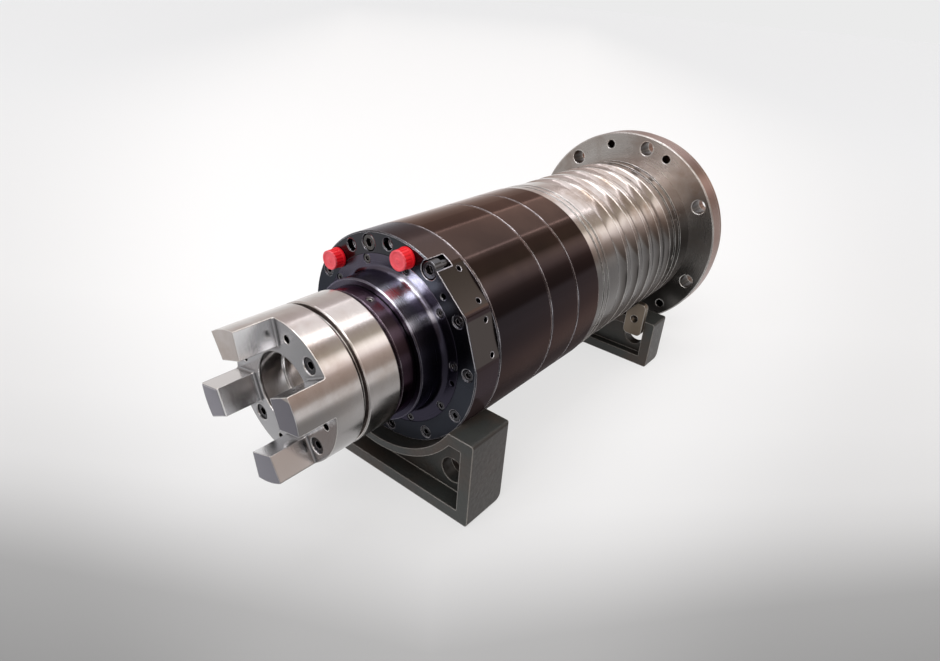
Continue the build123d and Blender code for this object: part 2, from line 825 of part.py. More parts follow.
for winding_name, winding_face, winding_way in (
    ("front_winding", x_stator, -1),
    ("rear_winding", x_stator_rear, 1),
):
    with BuildPart() as winding:
        with BuildSketch(Plane.XZ):
            winding_centre = winding_face + winding_way * winding_length / 2
            with Locations((winding_centre, (winding_r + winding_bore_r) / 2)):
                RectangleRounded(winding_length, winding_r - winding_bore_r, winding_length / 4)
        revolve(axis=Axis.X)
    winding.part.label = winding_name
    export_step(winding.part, f"parts/{winding_name}.step")

gap_centres = angles(claw_count, claw_start + full_turn / claw_count / 2)
nose_screw_angles = [centre + nose_screw_shift for centre in gap_centres]
nose_tapped_angles = [centre + nose_tapped_shift for centre in gap_centres]

with BuildPart() as spindle_shaft:
    with BuildSketch(Plane.XZ):
        with BuildLine():
            Polyline(
                (x_lip, socket_mouth_r),
                (x_lip, lip_r),
                (x_claw_rear, lip_r),
                (x_claw_rear, nose_groove_r),
                (x_nose_front, nose_groove_r),
                (x_nose_front, nose_r - edge_break),
                (x_nose_front + edge_break, nose_r),
                (x_nose_rear - edge_break, nose_r),
                (x_nose_rear, nose_r - edge_break),
                (x_nose_rear, nose_groove_r),
                (x_labyrinth, nose_groove_r),
                (x_labyrinth, labyrinth_bore_r),
                (x_bearing_1, labyrinth_bore_r),
                (x_bearing_1, front_seat_r),
                (x_motor_seat, front_seat_r),
                (x_motor_seat, motor_seat_r),
                (x_rear_bearing, motor_seat_r),
                (x_rear_bearing, rear_seat_r),
                (x_rear_nut_end, rear_seat_r),
                (x_rear_nut_end, shaft_tail_r),
                (x_shaft_end, shaft_tail_r),
                (x_shaft_end, spring_bore_r),
                (x_spring, spring_bore_r),
                (x_spring, drawbar_r + seat_gap),
                (x_socket_end, drawbar_r + seat_gap),
                (x_socket_end, socket_end_r),
                (x_lip, socket_mouth_r),
            )
        make_face()
    revolve(axis=Axis.X)
    with BuildSketch(across(x_claw_rear)):
        with Locations(*points(nose_hole_circle_r, nose_screw_angles)):
            Circle(nose_screw_r + seat_gap)
    extrude(
        amount=nose_screw_length + nose_screw_sink - claw_ring_thickness + face_gap,
        mode=Mode.SUBTRACT,
    )
spindle_shaft.part.label = "spindle_shaft"
export_step(spindle_shaft.part, "parts/spindle_shaft.step")

with BuildPart() as claw_ring:
    with BuildSketch(across(x_floor)):
        Circle(nose_r)
        Circle(nose_bore_r, mode=Mode.SUBTRACT)
    extrude(amount=claw_ring_thickness)
    chamfer(
        claw_ring.edges().filter_by(GeomType.CIRCLE).group_by(Axis.X)[-1].sort_by(SortBy.RADIUS)[-1],
        edge_break,
    )
    with BuildSketch(across(x_floor)):
        for angle in angles(claw_count, claw_start):
            with BuildLine(Plane.XY.rotated((0, 0, angle))):
                Polyline(
                    (claw_inner_r, -claw_inner_width / 2),
                    (nose_r + edge_break, -claw_outer_width / 2),
                    (nose_r + edge_break, claw_outer_width / 2),
                    (claw_inner_r, claw_inner_width / 2),
                    (claw_inner_r, -claw_inner_width / 2),
                )
            make_face()
        Circle(nose_r, mode=Mode.INTERSECT)
    extrude(amount=-claw_height)
    claw_roots = (
        claw_ring.edges()
        .filter_by(GeomType.LINE)
        .filter_by(lambda edge: abs(edge.center().X - x_floor) < match_gap)
    )
    fillet(claw_roots, claw_root_fillet)
    chamfer(claw_ring.faces().sort_by(Axis.X)[0].edges(), claw_tip_chamfer)
    with BuildSketch(across(x_floor)):
        with Locations(*points(nose_hole_circle_r, nose_screw_angles)):
            Circle(nose_screw_r + screw_gap)
    extrude(amount=claw_ring_thickness, mode=Mode.SUBTRACT)
    with BuildSketch(across(x_floor)):
        with Locations(*points(nose_hole_circle_r, nose_screw_angles)):
            Circle(nose_screw_head_r + screw_gap)
    extrude(amount=nose_screw_head_length + nose_screw_sink, mode=Mode.SUBTRACT)
    with BuildSketch(across(x_floor)):
        with Locations(*points(nose_hole_circle_r, nose_tapped_angles)):
            Circle(nose_tapped_r)
    extrude(amount=nose_tapped_depth, mode=Mode.SUBTRACT)
    break_mouths(claw_ring, x_floor, nose_screw_head_r + screw_gap)
    break_mouths(claw_ring, x_floor, nose_bore_r)
    with BuildSketch(across(x_claw_rear)):
        Circle(lip_r + seat_gap)
    extrude(amount=-lip_length - face_gap, mode=Mode.SUBTRACT)
claw_ring.part.label = "claw_ring"
export_step(claw_ring.part, "parts/claw_ring.step")

socket_screws(
    "claw_ring_screws",
    x_floor + nose_screw_sink,
    points(nose_hole_circle_r, nose_screw_angles),
    nose_screw_r,
    nose_screw_head_r,
    nose_screw_head_length,
    nose_screw_length,
)

with BuildPart() as labyrinth_ring:
    with BuildSketch(Plane.XZ):
        with BuildLine():
            Polyline(
                (x_labyrinth, labyrinth_bore_r + seat_gap),
                (x_labyrinth, labyrinth_r - edge_break),
                (x_labyrinth + edge_break, labyrinth_r),
                (x_labyrinth_rear, labyrinth_r),
                (x_labyrinth_rear, labyrinth_bore_r + seat_gap),
                (x_labyrinth, labyrinth_bore_r + seat_gap),
            )
        make_face()
    revolve(axis=Axis.X)
    for angle in angles(set_screw_count, set_screw_start):
        screw_plane = Plane(
            origin=(x_labyrinth + labyrinth_width / 2, *polar_point(labyrinth_bore_r, angle)),
            x_dir=(1, 0, 0),
            z_dir=(0, *polar_point(1, angle)),
        )
        with BuildSketch(screw_plane):
            Circle(set_screw_r + seat_gap)
        extrude(amount=2 * (labyrinth_r - labyrinth_bore_r), mode=Mode.SUBTRACT)
labyrinth_ring.part.label = "labyrinth_ring"
export_step(labyrinth_ring.part, "parts/labyrinth_ring.step")

with BuildPart() as labyrinth_set_screws:
    for angle in angles(set_screw_count, set_screw_start):
        screw_plane = Plane(
            origin=(
                x_labyrinth + labyrinth_width / 2,
                *polar_point(labyrinth_bore_r + seat_gap, angle),
            ),
            x_dir=(1, 0, 0),
            z_dir=(0, *polar_point(1, angle)),
        )
        set_screw_length = labyrinth_r - labyrinth_bore_r - edge_break
        with BuildSketch(screw_plane):
            Circle(set_screw_r)
        extrude(amount=set_screw_length)
        with BuildSketch(screw_plane.offset(set_screw_length)):
            RegularPolygon(set_screw_r * hex_socket_share, 6)
        extrude(amount=-set_screw_length / 3, mode=Mode.SUBTRACT)
labyrinth_set_screws.part.label = "labyrinth_set_screws"
export_step(labyrinth_set_screws.part, "parts/labyrinth_set_screws.step")

race_inner_r = front_seat_r + race_wall
race_outer_r = front_bearing_r - race_wall
bearing_fronts = (x_bearing_1, x_bearing_2)

with BuildPart() as front_bearing_outer_rings:
    with BuildSketch(Plane.XZ):
        for x_bearing in bearing_fronts:
            with Locations((x_bearing + front_bearing_width / 2, (front_bearing_r + race_outer_r) / 2)):
                Rectangle(front_bearing_width, race_wall)
            with Locations((x_bearing + front_bearing_width / 2, ball_circle_r)):
                Circle(ball_r + running_gap, mode=Mode.SUBTRACT)
    revolve(axis=Axis.X)
front_bearing_outer_rings.part.label = "front_bearing_outer_rings"
export_step(front_bearing_outer_rings.part, "parts/front_bearing_outer_rings.step")

with BuildPart() as front_bearing_inner_rings:
    with BuildSketch(Plane.XZ):
        for x_bearing in bearing_fronts:
            with Locations(
                (x_bearing + front_bearing_width / 2, (front_seat_r + seat_gap + race_inner_r) / 2)
            ):
                Rectangle(front_bearing_width, race_wall - seat_gap)
            with Locations((x_bearing + front_bearing_width / 2, ball_circle_r)):
                Circle(ball_r + seat_gap, mode=Mode.SUBTRACT)
    revolve(axis=Axis.X)
front_bearing_inner_rings.part.label = "front_bearing_inner_rings"
export_step(front_bearing_inner_rings.part, "parts/front_bearing_inner_rings.step")

with BuildPart() as front_bearing_balls:
    for x_bearing in bearing_fronts:
        for angle in angles(ball_count, 0):
            with Locations(
                (x_bearing + front_bearing_width / 2, *polar_point(ball_circle_r, angle))
            ):
                Sphere(ball_r)
front_bearing_balls.part.label = "front_bearing_balls"
export_step(front_bearing_balls.part, "parts/front_bearing_balls.step")

cage_side = front_bearing_width / 2 - ball_r - running_gap - face_gap

with BuildPart() as front_bearing_cages:
    for x_bearing in bearing_fronts:
        with BuildSketch(across(x_bearing + face_gap + cage_side)):
            Circle(ball_circle_r + cage_wall / 2)
            Circle(ball_circle_r - cage_wall / 2, mode=Mode.SUBTRACT)
        extrude(amount=cage_width)
        for angle in angles(ball_count, 0):
            pocket = Plane(
                origin=(x_bearing + front_bearing_width / 2, 0, 0),
                x_dir=(1, 0, 0),
                z_dir=(0, *polar_point(1, angle)),
            )
            with BuildSketch(pocket):
                Rectangle(2 * cage_width, 2 * (ball_r + running_gap))
            extrude(amount=front_bearing_r, mode=Mode.SUBTRACT)
        with BuildSketch(across(x_bearing + face_gap)):
            Circle(ball_circle_r + cage_wall / 2)
            Circle(ball_circle_r - cage_wall / 2, mode=Mode.SUBTRACT)
        extrude(amount=cage_side)
front_bearing_cages.part.label = "front_bearing_cages"
export_step(front_bearing_cages.part, "parts/front_bearing_cages.step")

with BuildPart() as front_outer_spacer:
    with BuildSketch(across(x_spacer)):
        Circle(front_bearing_r)
        Circle(race_outer_r, mode=Mode.SUBTRACT)
    extrude(amount=front_spacer_width)
front_outer_spacer.part.label = "front_outer_spacer"
export_step(front_outer_spacer.part, "parts/front_outer_spacer.step")

with BuildPart() as front_inner_spacer:
    with BuildSketch(across(x_spacer)):
        Circle(race_inner_r)
        Circle(front_seat_r + seat_gap, mode=Mode.SUBTRACT)
    extrude(amount=front_spacer_width)
front_inner_spacer.part.label = "front_inner_spacer"
export_step(front_inner_spacer.part, "parts/front_inner_spacer.step")

for nut_name, nut_x, nut_outer_r, nut_bore_r, nut_width in (
    ("front_locknut", x_front_nut, front_nut_r, front_seat_r, front_nut_width),
    ("rear_locknut", x_rear_nut, rear_nut_r, rear_seat_r, rear_nut_width),
):
    with BuildPart() as locknut:
        with BuildSketch(across(nut_x)):
            Circle(nut_outer_r)
            Circle(nut_bore_r + seat_gap, mode=Mode.SUBTRACT)
            with Locations(*points(nut_outer_r, angles(nut_slot_count, 0))):
                Circle(nut_slot_width / 2, mode=Mode.SUBTRACT)
        extrude(amount=nut_width)
    locknut.part.label = nut_name
    export_step(locknut.part, f"parts/{nut_name}.step")

with BuildPart() as rotor_core:
    with BuildSketch(across(x_stator)):
        Circle(rotor_core_r)
        Circle(motor_seat_r + seat_gap, mode=Mode.SUBTRACT)
    extrude(amount=stator_length)
rotor_core.part.label = "rotor_core"
export_step(rotor_core.part, "parts/rotor_core.step")

with BuildPart() as balancing_rings:
    for ring_x in (x_stator - balance_ring_width, x_stator_rear):
        with BuildSketch(across(ring_x)):
            Circle(balance_ring_r)
            Circle(motor_seat_r + seat_gap, mode=Mode.SUBTRACT)
        extrude(amount=balance_ring_width)
balancing_rings.part.label = "balancing_rings"
export_step(balancing_rings.part, "parts/balancing_rings.step")

roller_x = x_rear_bearing + (rear_bearing_width - roller_length) / 2

with BuildPart() as rear_bearing_outer_ring:
    with BuildSketch(across(x_rear_bearing)):
        Circle(rear_bearing_r)
        Circle(roller_circle_r + roller_r + running_gap, mode=Mode.SUBTRACT)
    extrude(amount=rear_bearing_width)
rear_bearing_outer_ring.part.label = "rear_bearing_outer_ring"
export_step(rear_bearing_outer_ring.part, "parts/rear_bearing_outer_ring.step")

with BuildPart() as rear_bearing_inner_ring:
    with BuildSketch(Plane.XZ):
        with BuildLine():
            Polyline(
                (x_rear_bearing, rear_seat_r + seat_gap),
                (x_rear_bearing, roller_circle_r - cage_wall),
                (roller_x - face_gap, roller_circle_r - cage_wall),
                (roller_x - face_gap, roller_circle_r - roller_r - seat_gap),
                (roller_x + roller_length + face_gap, roller_circle_r - roller_r - seat_gap),
                (roller_x + roller_length + face_gap, roller_circle_r - cage_wall),
                (x_rear_nut, roller_circle_r - cage_wall),
                (x_rear_nut, rear_seat_r + seat_gap),
                (x_rear_bearing, rear_seat_r + seat_gap),
            )
        make_face()
    revolve(axis=Axis.X)
rear_bearing_inner_ring.part.label = "rear_bearing_inner_ring"
export_step(rear_bearing_inner_ring.part, "parts/rear_bearing_inner_ring.step")

with BuildPart() as rear_bearing_rollers:
    with BuildSketch(across(roller_x)):
        with Locations(*points(roller_circle_r, angles(roller_count, 0))):
            Circle(roller_r)
    extrude(amount=roller_length)
rear_bearing_rollers.part.label = "rear_bearing_rollers"
export_step(rear_bearing_rollers.part, "parts/rear_bearing_rollers.step")

with BuildPart() as rear_bearing_cage:
    with BuildSketch(across(roller_x - face_gap)):
        Circle(roller_circle_r + cage_wall / 2)
        Circle(roller_circle_r - cage_wall / 2, mode=Mode.SUBTRACT)
        with Locations(*points(roller_circle_r, angles(roller_count, 0))):
            Circle(roller_r + running_gap, mode=Mode.SUBTRACT)
    extrude(amount=roller_length + 2 * face_gap)
    with BuildSketch(across(x_rear_nut - cage_wall)):
        Circle(roller_circle_r + cage_wall / 2)
        Circle(roller_circle_r - cage_wall / 2, mode=Mode.SUBTRACT)
    extrude(amount=roller_x + roller_length + face_gap - x_rear_nut + cage_wall)
rear_bearing_cage.part.label = "rear_bearing_cage"
export_step(rear_bearing_cage.part, "parts/rear_bearing_cage.step")

with BuildPart() as encoder_wheel:
    with BuildSketch(across(x_encoder)):
        Circle(encoder_r)
        Circle(shaft_tail_r + seat_gap, mode=Mode.SUBTRACT)
        with Locations(*points(encoder_r, angles(encoder_notch_count, 0))):
            Circle(encoder_notch_r, mode=Mode.SUBTRACT)
    extrude(amount=encoder_width)
encoder_wheel.part.label = "encoder_wheel"
export_step(encoder_wheel.part, "parts/encoder_wheel.step")

with BuildPart() as encoder_sensor:
    with BuildSketch(across(x_rear_cover)):
        with Locations((0, encoder_r + sensor_gap + sensor_height / 2)):
            Rectangle(sensor_width, sensor_height)
    extrude(amount=x_encoder - x_rear_cover)
encoder_sensor.part.label = "encoder_sensor"
export_step(encoder_sensor.part, "parts/encoder_sensor.step")

# The drawbar stands one travel behind the claw ring, so its nose never enters the nose bore
with BuildPart() as drawbar:
    with BuildSketch(Plane.XZ):
        with BuildLine():
            Polyline(
                (x_drawbar_nose, 0),
                (x_drawbar_nose, drawbar_neck_r),
                (x_head_rear - drawbar_head_length / 2, drawbar_head_r),
                (x_head_rear, drawbar_head_r),
                (x_head_rear, drawbar_neck_r),
                (x_neck_rear, drawbar_neck_r),
                (x_neck_rear, drawbar_r),
                (x_collar, drawbar_r),
                (x_collar, spring_bore_r - running_gap),
                (x_collar + collar_width, spring_bore_r - running_gap),
                (x_collar + collar_width, drawbar_tail_r),
                (drawbar_tail_end, drawbar_tail_r),
                (drawbar_tail_end, 0),
                (x_drawbar_nose, 0),
            )
        make_face()
    revolve(axis=Axis.X)
drawbar.part.label = "drawbar"
export_step(drawbar.part, "parts/drawbar.step")

with BuildPart() as gripper:
    with BuildSketch(across(x_head_rear)):
        Circle(gripper_r)
        Circle(drawbar_neck_r + seat_gap, mode=Mode.SUBTRACT)
        with PolarLocations(gripper_r / 2, gripper_count):
            Rectangle(gripper_r, gripper_slot, mode=Mode.SUBTRACT)
    extrude(amount=gripper_length)
    outer_edges = gripper.edges().filter_by(GeomType.CIRCLE).sort_by(SortBy.RADIUS)
    chamfer(outer_edges[-2 * gripper_count :], edge_break)
gripper.part.label = "gripper"
export_step(gripper.part, "parts/gripper.step")

spring_pitch = spring_length / spring_count
spring_rise = spring_pitch - spring_thickness

with BuildPart() as disc_springs:
    spring_bore = drawbar_r + spring_bore_gap
    for index in range(spring_count):
        start = x_spring + index * spring_pitch
        outer_shift = 0 if index % 2 else spring_rise
        inner_shift = spring_rise - outer_shift
        with BuildSketch(Plane.XZ):
            with BuildLine():
                Polyline(
                    (start + inner_shift, spring_bore),
                    (start + outer_shift, spring_outer_r),
                    (start + outer_shift + spring_thickness, spring_outer_r),
                    (start + inner_shift + spring_thickness, spring_bore),
                    (start + inner_shift, spring_bore),
                )
            make_face()
        revolve(axis=Axis.X)
disc_springs.part.label = "disc_springs"
export_step(disc_springs.part, "parts/disc_springs.step")

with BuildPart() as release_cylinder:
    with BuildSketch(across(x_cylinder)):
        Circle(cylinder_r)
        Circle(cylinder_bore_r, mode=Mode.SUBTRACT)
        with Locations(*points(cylinder_screw_circle_r, angles(cylinder_screw_count, 0))):
            Circle(cylinder_screw_r + screw_gap, mode=Mode.SUBTRACT)
    extrude(amount=cylinder_length)
    with BuildSketch(Plane.XY.offset(cylinder_bore_r - edge_break)):
        with Locations((x_cylinder + fitting_inset, 0), (x_cap - fitting_inset, 0)):
            Circle(fitting_bore_r)
    extrude(amount=cylinder_r, mode=Mode.SUBTRACT)
    with BuildSketch(Plane.XY.offset(cylinder_r)):
        with Locations((x_cylinder + fitting_inset, 0), (x_cap - fitting_inset, 0)):
            Circle(fitting_r + seat_gap)
    extrude(amount=-fitting_thread_length - face_gap, mode=Mode.SUBTRACT)
release_cylinder.part.label = "release_cylinder"
export_step(release_cylinder.part, "parts/release_cylinder.step")

with BuildPart() as hydraulic_fittings:
    fitting_points = ((x_cylinder + fitting_inset, 0), (x_cap - fitting_inset, 0))
    with BuildSketch(Plane.XY.offset(cylinder_r)):
        with Locations(*fitting_points):
            Circle(fitting_r)
    extrude(amount=-fitting_thread_length)
    with BuildSketch(Plane.XY.offset(cylinder_r)):
        with Locations(*fitting_points):
            RegularPolygon(fitting_hex_r, 6)
    extrude(amount=fitting_hex_height)
    with BuildSketch(Plane.XY.offset(cylinder_r + fitting_hex_height)):
        with Locations(*fitting_points):
            Circle(fitting_stub_r)
    extrude(amount=fitting_stub_height)
    with BuildSketch(Plane.XY.offset(cylinder_r + fitting_hex_height + fitting_stub_height)):
        with Locations(*fitting_points):
            Circle(fitting_bore_r)
    extrude(
        amount=-(fitting_stub_height + fitting_hex_height + fitting_thread_length),
        mode=Mode.SUBTRACT,
    )
hydraulic_fittings.part.label = "hydraulic_fittings"
export_step(hydraulic_fittings.part, "parts/hydraulic_fittings.step")

with BuildPart() as cylinder_cap:
    with BuildSketch(across(x_cap)):
        Circle(cylinder_r)
        with Locations(*points(cylinder_screw_circle_r, angles(cylinder_screw_count, 0))):
            Circle(cylinder_screw_r + screw_gap, mode=Mode.SUBTRACT)
    extrude(amount=cylinder_cap_thickness)
    chamfer(cylinder_cap.faces().sort_by(Axis.X)[-1].outer_wire().edges(), edge_break)
    with BuildSketch(across(x_end)):
        with Locations(*points(cylinder_screw_circle_r, angles(cylinder_screw_count, 0))):
            Circle(cylinder_screw_head_r + screw_gap)
    extrude(amount=-cylinder_screw_head_length, mode=Mode.SUBTRACT)
cylinder_cap.part.label = "cylinder_cap"
export_step(cylinder_cap.part, "parts/cylinder_cap.step")

socket_screws(
    "cylinder_screws",
    x_end,
    points(cylinder_screw_circle_r, angles(cylinder_screw_count, 0)),
    cylinder_screw_r,
    cylinder_screw_head_r,
    cylinder_screw_head_length,
    cylinder_length + cylinder_cap_thickness + cylinder_screw_grip,
    toward=-1,
)

with BuildPart() as release_piston:
    with BuildSketch(Plane.XZ):
        with BuildLine():
            Polyline(
                (drawbar_tail_end + face_gap, 0),
                (drawbar_tail_end + face_gap, piston_rod_r),
                (x_cap - face_gap - piston_thickness, piston_rod_r),
                (x_cap - face_gap - piston_thickness, cylinder_bore_r - running_gap),
                (x_cap - face_gap, cylinder_bore_r - running_gap),
                (x_cap - face_gap, 0),
                (drawbar_tail_end + face_gap, 0),
            )
        make_face()
    revolve(axis=Axis.X)
release_piston.part.label = "release_piston"
export_step(release_piston.part, "parts/release_piston.step")

for stand_name, stand_x, stand_depth, stand_half_width, stand_top, seat_r in stands:
    saddle_r = seat_r + seat_gap
    web_setback = (stand_depth - stand_web) / 2
    top_y = sqrt(saddle_r**2 - stand_top**2)
    with BuildPart() as stand:
        with BuildSketch(across(stand_x)):
            with BuildLine():
                Polyline(
                    (top_y, stand_top),
                    (stand_half_width, stand_top),
                    (stand_half_width, stand_floor),
                    (-stand_half_width, stand_floor),
                    (-stand_half_width, stand_top),
                    (-top_y, stand_top),
                )
                ThreePointArc((-top_y, stand_top), (0, -saddle_r), (top_y, stand_top))
            make_face()
        extrude(amount=stand_depth)
        fillet(
            stand.faces().sort_by(Axis.X)[-1].edges().group_by(Axis.Z)[0],
            stand_edge_fillet,
        )
        long_edges = stand.edges().filter_by(Axis.X)
        fillet(
            long_edges.filter_by(lambda edge: abs(abs(edge.center().Y) - stand_half_width) < match_gap),
            stand_corner_fillet,
        )
        for pocket_x in (stand_x, stand_x + web_setback + stand_web):
            with BuildSketch(across(pocket_x)):
                with BuildLine():
                    Polyline(
                        (-stand_half_width + stand_rim, stand_top - stand_base),
                        (-stand_half_width + stand_rim, stand_floor + stand_base),
                        (stand_half_width - stand_rim, stand_floor + stand_base),
                        (stand_half_width - stand_rim, stand_top - stand_base),
                        close=True,
                    )
                make_face()
                Circle(saddle_r + stand_saddle_wall, mode=Mode.SUBTRACT)
            extrude(amount=web_setback, mode=Mode.SUBTRACT)
        with BuildSketch(across(stand_x)):
            with Locations((stand_hole_y, stand_hole_z), (-stand_hole_y, stand_hole_z)):
                Circle(stand_hole_r)
        extrude(amount=stand_depth, mode=Mode.SUBTRACT)
        with BuildSketch(Plane.XY.offset(stand_floor)):
            with Locations(*stand_screw_points(stand_x, stand_depth)):
                Circle(stand_screw_r + screw_gap)
        extrude(amount=-stand_floor, mode=Mode.SUBTRACT)
        with BuildSketch(Plane.XY.offset(stand_floor)):
            with Locations(*stand_screw_points(stand_x, stand_depth)):
                Circle(stand_screw_head_r + screw_gap)
        extrude(amount=stand_screw_head_length + stand_screw_sink, mode=Mode.SUBTRACT)
    stand.part.label = stand_name
    export_step(stand.part, f"parts/{stand_name}.step")

with BuildPart() as stand_screws:
    for stand_x, stand_depth, seat_r in (
        (x_front_stand, front_stand_depth, body_r),
        (x_rear_stand, rear_stand_depth, sleeve_r),
    ):
        head_plane = Plane.XY.offset(stand_floor + stand_screw_sink)
        with BuildSketch(head_plane):
            with Locations(*stand_screw_points(stand_x, stand_depth)):
                Circle(stand_screw_head_r)
        extrude(amount=stand_screw_head_length)
        with BuildSketch(head_plane):
            with Locations(*stand_screw_points(stand_x, stand_depth)):
                Circle(stand_screw_r)
        extrude(amount=-stand_floor - stand_screw_sink - seat_r + stand_screw_bite)
        with BuildSketch(head_plane):
            with Locations(*stand_screw_points(stand_x, stand_depth)):
                RegularPolygon(stand_screw_head_r * hex_socket_share, 6)
        extrude(amount=stand_screw_head_length / 2, mode=Mode.SUBTRACT)
stand_screws.part.label = "stand_screws"
export_step(stand_screws.part, "parts/stand_screws.step")

with BuildPart() as clamp_lug:
    with BuildSketch(across(x_rear_stand)):
        with Locations((lug_y, lug_z)):
            RectangleRounded(lug_width, lug_height, lug_width / 4)
        with Locations((lug_y, lug_z)):
            Circle(lug_hole_r, mode=Mode.SUBTRACT)
        Circle(sleeve_r + running_gap, mode=Mode.SUBTRACT)
    extrude(amount=-lug_thickness)
clamp_lug.part.label = "clamp_lug"
export_step(clamp_lug.part, "parts/clamp_lug.step")
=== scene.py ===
# %% [markdown]
# # A motor spindle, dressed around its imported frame
#
# The spindle's steel parts were drawn and measured elsewhere and come in as a fixed frame.
# This lesson gives them their finishes: ground steel, black oxide, cast iron and moulded
# plastic. A few small pieces are modelled here, because they need soft edges and moulded
# detail that a turned part doesn't have. The frame is loaded first, so that every size
# below can be read from it.

# %% Load the frame
import json
from math import cos, pi, radians, sin

import bpy
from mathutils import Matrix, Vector

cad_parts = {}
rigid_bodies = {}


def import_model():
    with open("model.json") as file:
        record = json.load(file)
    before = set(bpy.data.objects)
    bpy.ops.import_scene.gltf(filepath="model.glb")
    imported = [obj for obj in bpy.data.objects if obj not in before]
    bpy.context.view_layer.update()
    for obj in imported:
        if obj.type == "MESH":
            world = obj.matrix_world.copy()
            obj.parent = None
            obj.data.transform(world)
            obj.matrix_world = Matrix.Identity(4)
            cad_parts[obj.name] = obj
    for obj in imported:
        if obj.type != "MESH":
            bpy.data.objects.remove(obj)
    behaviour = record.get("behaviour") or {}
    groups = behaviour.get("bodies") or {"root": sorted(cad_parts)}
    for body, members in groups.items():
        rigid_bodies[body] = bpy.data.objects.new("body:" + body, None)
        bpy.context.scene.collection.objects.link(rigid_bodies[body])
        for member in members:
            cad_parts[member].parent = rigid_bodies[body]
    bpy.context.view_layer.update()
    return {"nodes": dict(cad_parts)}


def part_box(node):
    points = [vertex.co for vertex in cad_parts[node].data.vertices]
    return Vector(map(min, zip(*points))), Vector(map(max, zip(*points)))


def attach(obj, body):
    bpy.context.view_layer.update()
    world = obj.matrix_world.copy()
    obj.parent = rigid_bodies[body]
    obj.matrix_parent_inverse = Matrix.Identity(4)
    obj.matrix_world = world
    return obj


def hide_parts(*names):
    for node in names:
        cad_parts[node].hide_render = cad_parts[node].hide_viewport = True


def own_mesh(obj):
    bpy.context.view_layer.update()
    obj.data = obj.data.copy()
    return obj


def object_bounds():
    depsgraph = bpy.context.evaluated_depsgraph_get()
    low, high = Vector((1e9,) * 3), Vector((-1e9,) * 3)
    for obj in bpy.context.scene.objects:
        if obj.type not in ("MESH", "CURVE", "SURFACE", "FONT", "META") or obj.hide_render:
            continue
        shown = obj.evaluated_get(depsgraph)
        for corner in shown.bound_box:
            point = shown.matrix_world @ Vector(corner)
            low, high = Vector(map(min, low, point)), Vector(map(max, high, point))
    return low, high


bpy.ops.object.select_all(action="SELECT")
bpy.ops.object.delete()
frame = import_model()
nodes = frame["nodes"]

# %% [markdown]
# ## The camera
#
# The viewpoint was worked out from round edges in the photograph: a wide lens, close to the
# nose, looking down along the spindle. The focal length follows from the field of view,
# and a slight roll comes from the camera being held by hand. Keyed-in angles are used
# instead of a tracking constraint, because a constraint can't hold a roll.

# %% Camera
camera_place = (-0.80282, -0.36023, 0.29001)
camera_turn = (61.4006, -3.9366, -50.9030)
camera_lens = 24.708
sensor_width = 36.0

bpy.ops.object.camera_add(location=camera_place)
camera = bpy.context.object
camera.name = "photo_camera"
camera.rotation_euler = [radians(angle) for angle in camera_turn]
camera.data.lens = camera_lens
camera.data.sensor_width = sensor_width
camera.data.sensor_fit = "HORIZONTAL"
camera.data.clip_start = 0.01
bpy.context.scene.camera = camera
bpy.context.scene.view_settings.view_transform = "Standard"
print("camera at", camera_place)

# %% [markdown]
# ## Building material graphs
#
# Each finish is a small node graph, which could be joined up by hand in the shader editor. A
# few short helpers do the same and keep the graphs readable: one adds a node, sets its values
# and joins its inputs, the others stand for the nodes that are used most. Everything is
# procedural and reads Object coordinates, so the pattern stays on the piece when it turns or
# slides.

# %% Helpers that add nodes
NODES_IN_A_ROW = 8


def feed(tree, socket, value):
    """Joins an input socket to the output that is given, or sets it to a plain value."""
    if isinstance(value, bpy.types.NodeSocket):
        tree.links.new(value, socket)
    elif socket.type == "RGBA":
        socket.default_value = (*value, 1)
    else:
        socket.default_value = value


def add_node(tree, kind, **values):
    """Adds a node. Values named like its sockets feed them, and the rest are its settings."""
    row, column = divmod(len(tree.nodes), NODES_IN_A_ROW)
    node = tree.nodes.new(kind)
    node.location = (column * 220, -row * 300)
    for name, value in values.items():
        socket = node.inputs.get(name.replace("_", " "))
        if socket is None:
            setattr(node, name, value)
        else:
            feed(tree, socket, value)
    return node


print("nodes in a row", NODES_IN_A_ROW)

# %% Helpers for the nodes that are used most


def scalar(tree, operation, *values, clamp=False):
    """A Math node fed by outputs or plain numbers. Returns its output."""
    node = add_node(tree, "ShaderNodeMath", operation=operation, use_clamp=clamp)
    for socket, value in zip(node.inputs, values):
        feed(tree, socket, value)
    return node.outputs[0]


def blend_colours(tree, factor, first, second, mode="MIX"):
    """A colour Mix node fed by outputs or plain colours. Returns its output."""
    node = add_node(tree, "ShaderNodeMix", data_type="RGBA", blend_type=mode)
    for index, value in ((0, factor), (6, first), (7, second)):
        feed(tree, node.inputs[index], value)
    return node.outputs[2]


def fade(tree, value, start, end, kind="SMOOTHSTEP", **limits):
    """A Map Range node that goes from 0 at start to 1 at end. Returns its output."""
    node = add_node(
        tree,
        "ShaderNodeMapRange",
        interpolation_type=kind,
        Value=value,
        From_Min=start,
        From_Max=end,
        **limits,
    )
    return node.outputs[0]


def noise(tree, vector, scale, detail, **values):
    """A Noise node. Returns its grey output."""
    node = add_node(
        tree, "ShaderNodeTexNoise", Vector=vector, Scale=scale, Detail=detail, **values
    )
    return node.outputs[0]


print("helpers for numbers, colours and noise ready")

# %% Helpers for vectors and colour ramps


def axes(tree, vector):
    """The X, Y and Z of a vector, as three outputs."""
    return add_node(tree, "ShaderNodeSeparateXYZ", Vector=vector).outputs


def radius_about_axis(tree, y, z):
    """The distance of a point from the spindle's axis."""
    y_squared = scalar(tree, "MULTIPLY", y, y)
    return scalar(tree, "SQRT", scalar(tree, "MULTIPLY_ADD", z, z, y_squared))


